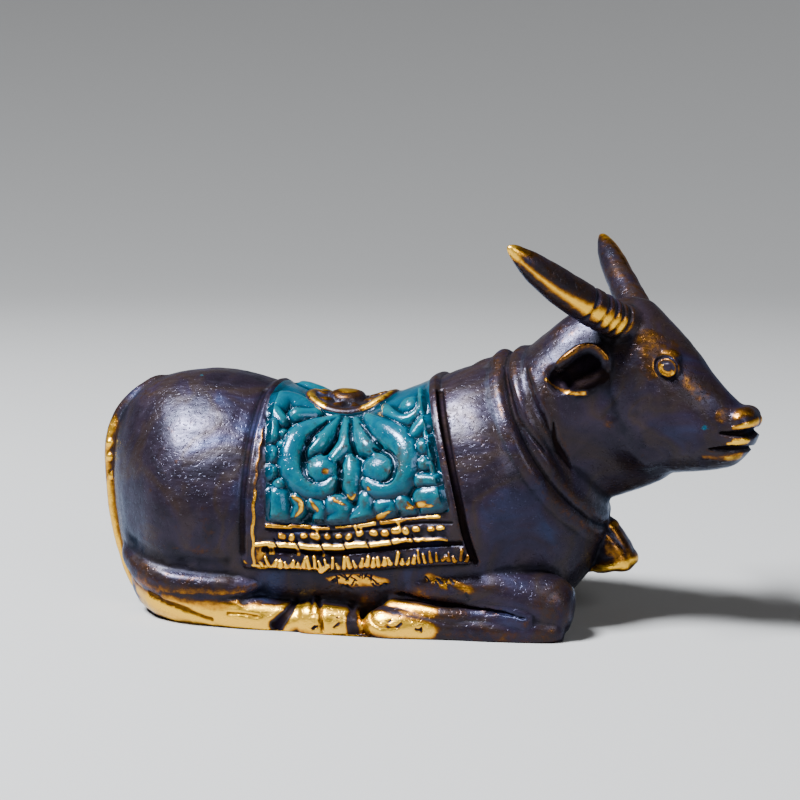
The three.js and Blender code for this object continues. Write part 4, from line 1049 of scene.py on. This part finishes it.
at = add("TexCoord", out="Object")
rub, paint, hollow = (add("Attribute", attribute_name=name, out="Fac") for name in ("rub", "paint", "hollow"))
PER_MM = 1 / MM
CLOUD, TINT, GRAIN, SCRATCH, PIT = 9, 16, 1.6, 0.8, 0.7  # mm: how large each pattern is
clouds = add("TexNoise", {
    "Vector": at, "Scale": PER_MM / CLOUD, "Detail": 5, "Roughness": 0.62, "Distortion": 0.8,
})
tints = add("TexNoise", {
    "Vector": at, "Scale": PER_MM / TINT, "Detail": 3, "Roughness": 0.5, "Distortion": 1.2,
})
grain = add("TexNoise", {"Vector": at, "Scale": PER_MM / GRAIN, "Detail": 6, "Roughness": 0.68})
along_body = add("Mapping", {"Vector": at, "Scale": (0.25, 1, 1)})
streaks = add("TexNoise", {"Vector": along_body, "Scale": PER_MM / SCRATCH, "Detail": 4, "Roughness": 0.6})

# how far down the metal is worn: the rubbed crests first, then what the clouds and the grain let through
worn = add("Math", {0: rub, 1: 0.94, 2: -0.62}, operation="MULTIPLY_ADD")
for pattern, amount in ((clouds, 0.55), (grain, 0.65), (hollow, -0.25)):
    worn = add("Math", {0: pattern, 1: amount, 2: worn}, operation="MULTIPLY_ADD")
bare = add("MapRange", {"Value": worn, "From Min": 0.14, "From Max": 0.48}, interpolation_type="SMOOTHSTEP")
brass = add("ValToRGB", {"Fac": worn}, stops=[
    (0.14, "#20150f"), (0.34, "#4a2f17"), (0.5, "#7f531d"), (0.7, "#c2861f"), (1, "#f9c038"),
])
patina = add("ValToRGB", {"Fac": tints}, stops=[
    (0.3, "#1a1419"), (0.43, "#241b24"), (0.52, "#2b201d"), (0.6, "#261c28"), (0.72, "#252840"),
])
mottle = add("MapRange", {"Value": clouds, "From Min": 0.3, "From Max": 0.7, "To Min": 0.6, "To Max": 1.22})
patina = add("Mix", {"Factor": 1.0, "A": patina, "B": mottle}, data_type="RGBA", blend_type="MULTIPLY")
metal = add("Mix", {"Factor": bare, "A": patina, "B": brass}, data_type="RGBA")

# the paint: a ragged edge, a tone that varies at random, and painted shade and light: darker in the hollows,
# lighter on the crests
ragged = add("Math", {0: grain, 1: 0.6, 2: paint}, operation="MULTIPLY_ADD")
for place in drops:
    away = add("VectorMath", {0: at, 1: tuple(place * MM)}, out="Value", operation="DISTANCE")
    drop = add("MapRange", {
        "Value": away, "From Min": 1.6 * MM, "From Max": 0.2 * MM, "To Min": -0.5, "To Max": 0.25,
    })
    drop = add("Math", {0: grain, 1: 1.6, 2: drop}, operation="MULTIPLY_ADD")
    ragged = add("Math", {0: ragged, 1: drop}, operation="MAXIMUM")
painted = add(
    "MapRange", {"Value": ragged, "From Min": 0.72, "From Max": 0.86}, interpolation_type="SMOOTHSTEP"
)
kept = add("Math", {0: 1.0, 1: bare}, operation="SUBTRACT")
painted = add("Math", {0: painted, 1: kept}, operation="MULTIPLY")
# painted shade and painted light on the paint: lower in the hollows, higher on the crests
depth = add("Math", {0: hollow, 1: -0.42, 2: 0.3}, operation="MULTIPLY_ADD")
depth = add("Math", {0: clouds, 1: 0.45, 2: depth}, operation="MULTIPLY_ADD")
turquoise = add("ValToRGB", {"Fac": depth}, stops=[
    (0.08, "#00161e"), (0.3, "#00202a"), (0.5, "#002b3a"), (0.7, "#013744"), (0.95, "#04484e"),
])
# darker in the hollows: partly grime, partly painted shade, darkest where shade is painted
grime_and_shade = add("MapRange", {"Value": hollow, "From Min": 0.2, "From Max": 1, "To Min": 1, "To Max": 0.4})
metal = add("Mix", {"Factor": 1.0, "A": metal, "B": grime_and_shade}, data_type="RGBA", blend_type="MULTIPLY")
skin_colour = add("Mix", {"Factor": painted, "A": metal, "B": turquoise}, data_type="RGBA")
links.new(skin_colour, shader.inputs["Base Color"])

# painted shade takes the light in the hollows and cuts: the skin turns fully metallic on its dark colour
# there; wax dulls the patina a little, and paint and bare brass are smooth
metallic = add("MapRange", {"Value": bare, "To Min": 0.55, "To Max": 1})
sooty = add("MapRange", {"Value": hollow, "From Min": 0.3, "From Max": 1.3, "To Max": 1})
metallic = add("Math", {0: metallic, 1: sooty}, operation="MAXIMUM")
unpainted = add("Math", {0: 1.0, 1: painted}, operation="SUBTRACT")
links.new(add("Math", {0: metallic, 1: unpainted}, operation="MULTIPLY"), shader.inputs["Metallic"])
roughness = add("MapRange", {
    "Value": streaks, "From Min": 0.3, "From Max": 0.7, "To Min": 0.24, "To Max": 0.4,
})
roughness = add("Math", {0: sooty, 1: 0.35, 2: roughness}, operation="MULTIPLY_ADD")
roughness = add("Mix", {"Factor": painted, "A": roughness, "B": 0.17}, data_type="FLOAT")
links.new(roughness, shader.inputs["Roughness"])

# the cast skin: grain, fine scratches and pits
pits = add("TexNoise", {"Vector": at, "Scale": PER_MM / PIT, "Detail": 2, "Roughness": 0.5})
pits = add("MapRange", {"Value": pits, "From Min": 0.3, "From Max": 0.42, "To Min": -0.5, "To Max": 0})
height = add("Math", {0: grain, 1: 0.6, 2: pits}, operation="MULTIPLY_ADD")
height = add("Math", {0: streaks, 1: 0.35, 2: height}, operation="MULTIPLY_ADD")
relief = add("Bump", {"Height": height, "Strength": 0.55, "Distance": 0.16 * MM})
links.new(relief, shader.inputs["Normal"])
bull.data.materials.clear()
bull.data.materials.append(finish)

# A plain pale floor that sweeps up all round, far enough away to show no edge.
FLOOR_SIDE, FLAT_RADIUS, SWEEP = 9, 0.8, 0.45  # metres, and how fast the floor rises past its flat middle
bpy.ops.object.select_all(action="DESELECT")
bpy.ops.mesh.primitive_grid_add(x_subdivisions=96, y_subdivisions=96, size=FLOOR_SIDE)
floor = bpy.context.object
floor.name = "floor"
ground = corners(floor) * MM
far = np.maximum(np.hypot(ground[:, 0], ground[:, 1]) - FLAT_RADIUS, 0)
ground[:, 2] = SWEEP * far**2
move_corners(floor, ground / MM)
bpy.ops.object.shade_smooth()
pale = bpy.data.materials.new("floor")
pale.use_nodes = True
pale.node_tree.nodes["Principled BSDF"].inputs["Base Color"].default_value = colour("#888682")
pale.node_tree.nodes["Principled BSDF"].inputs["Roughness"].default_value = 0.8
floor.data.materials.append(pale)

# Soft studio light: a large lamp high on the left that draws the highlights, and a weaker one on the right.
world = bpy.data.worlds.new("studio")
bpy.context.scene.world = world
world.use_nodes = True
world.node_tree.nodes["Background"].inputs["Color"].default_value = colour("#dbd6da")
world.node_tree.nodes["Background"].inputs["Strength"].default_value = 0.28
LAMPS = [  # name, place, size, power
    ("key", (-0.45, -0.3, 0.9), 0.26, 82),
    ("fill", (0.84, -0.96, 0.75), 0.6, 10),
]
for name, place, size, power in LAMPS:
    bpy.ops.object.light_add(type="AREA", location=place)
    light = bpy.context.object
    light.name = name
    light.data.size = size
    light.data.energy = power
    light.data.color = colour("#eff5ff")[:3]
    light.rotation_euler = (VIEW_MIDDLE - Vector(place)).to_track_quat("-Z", "Y").to_euler()
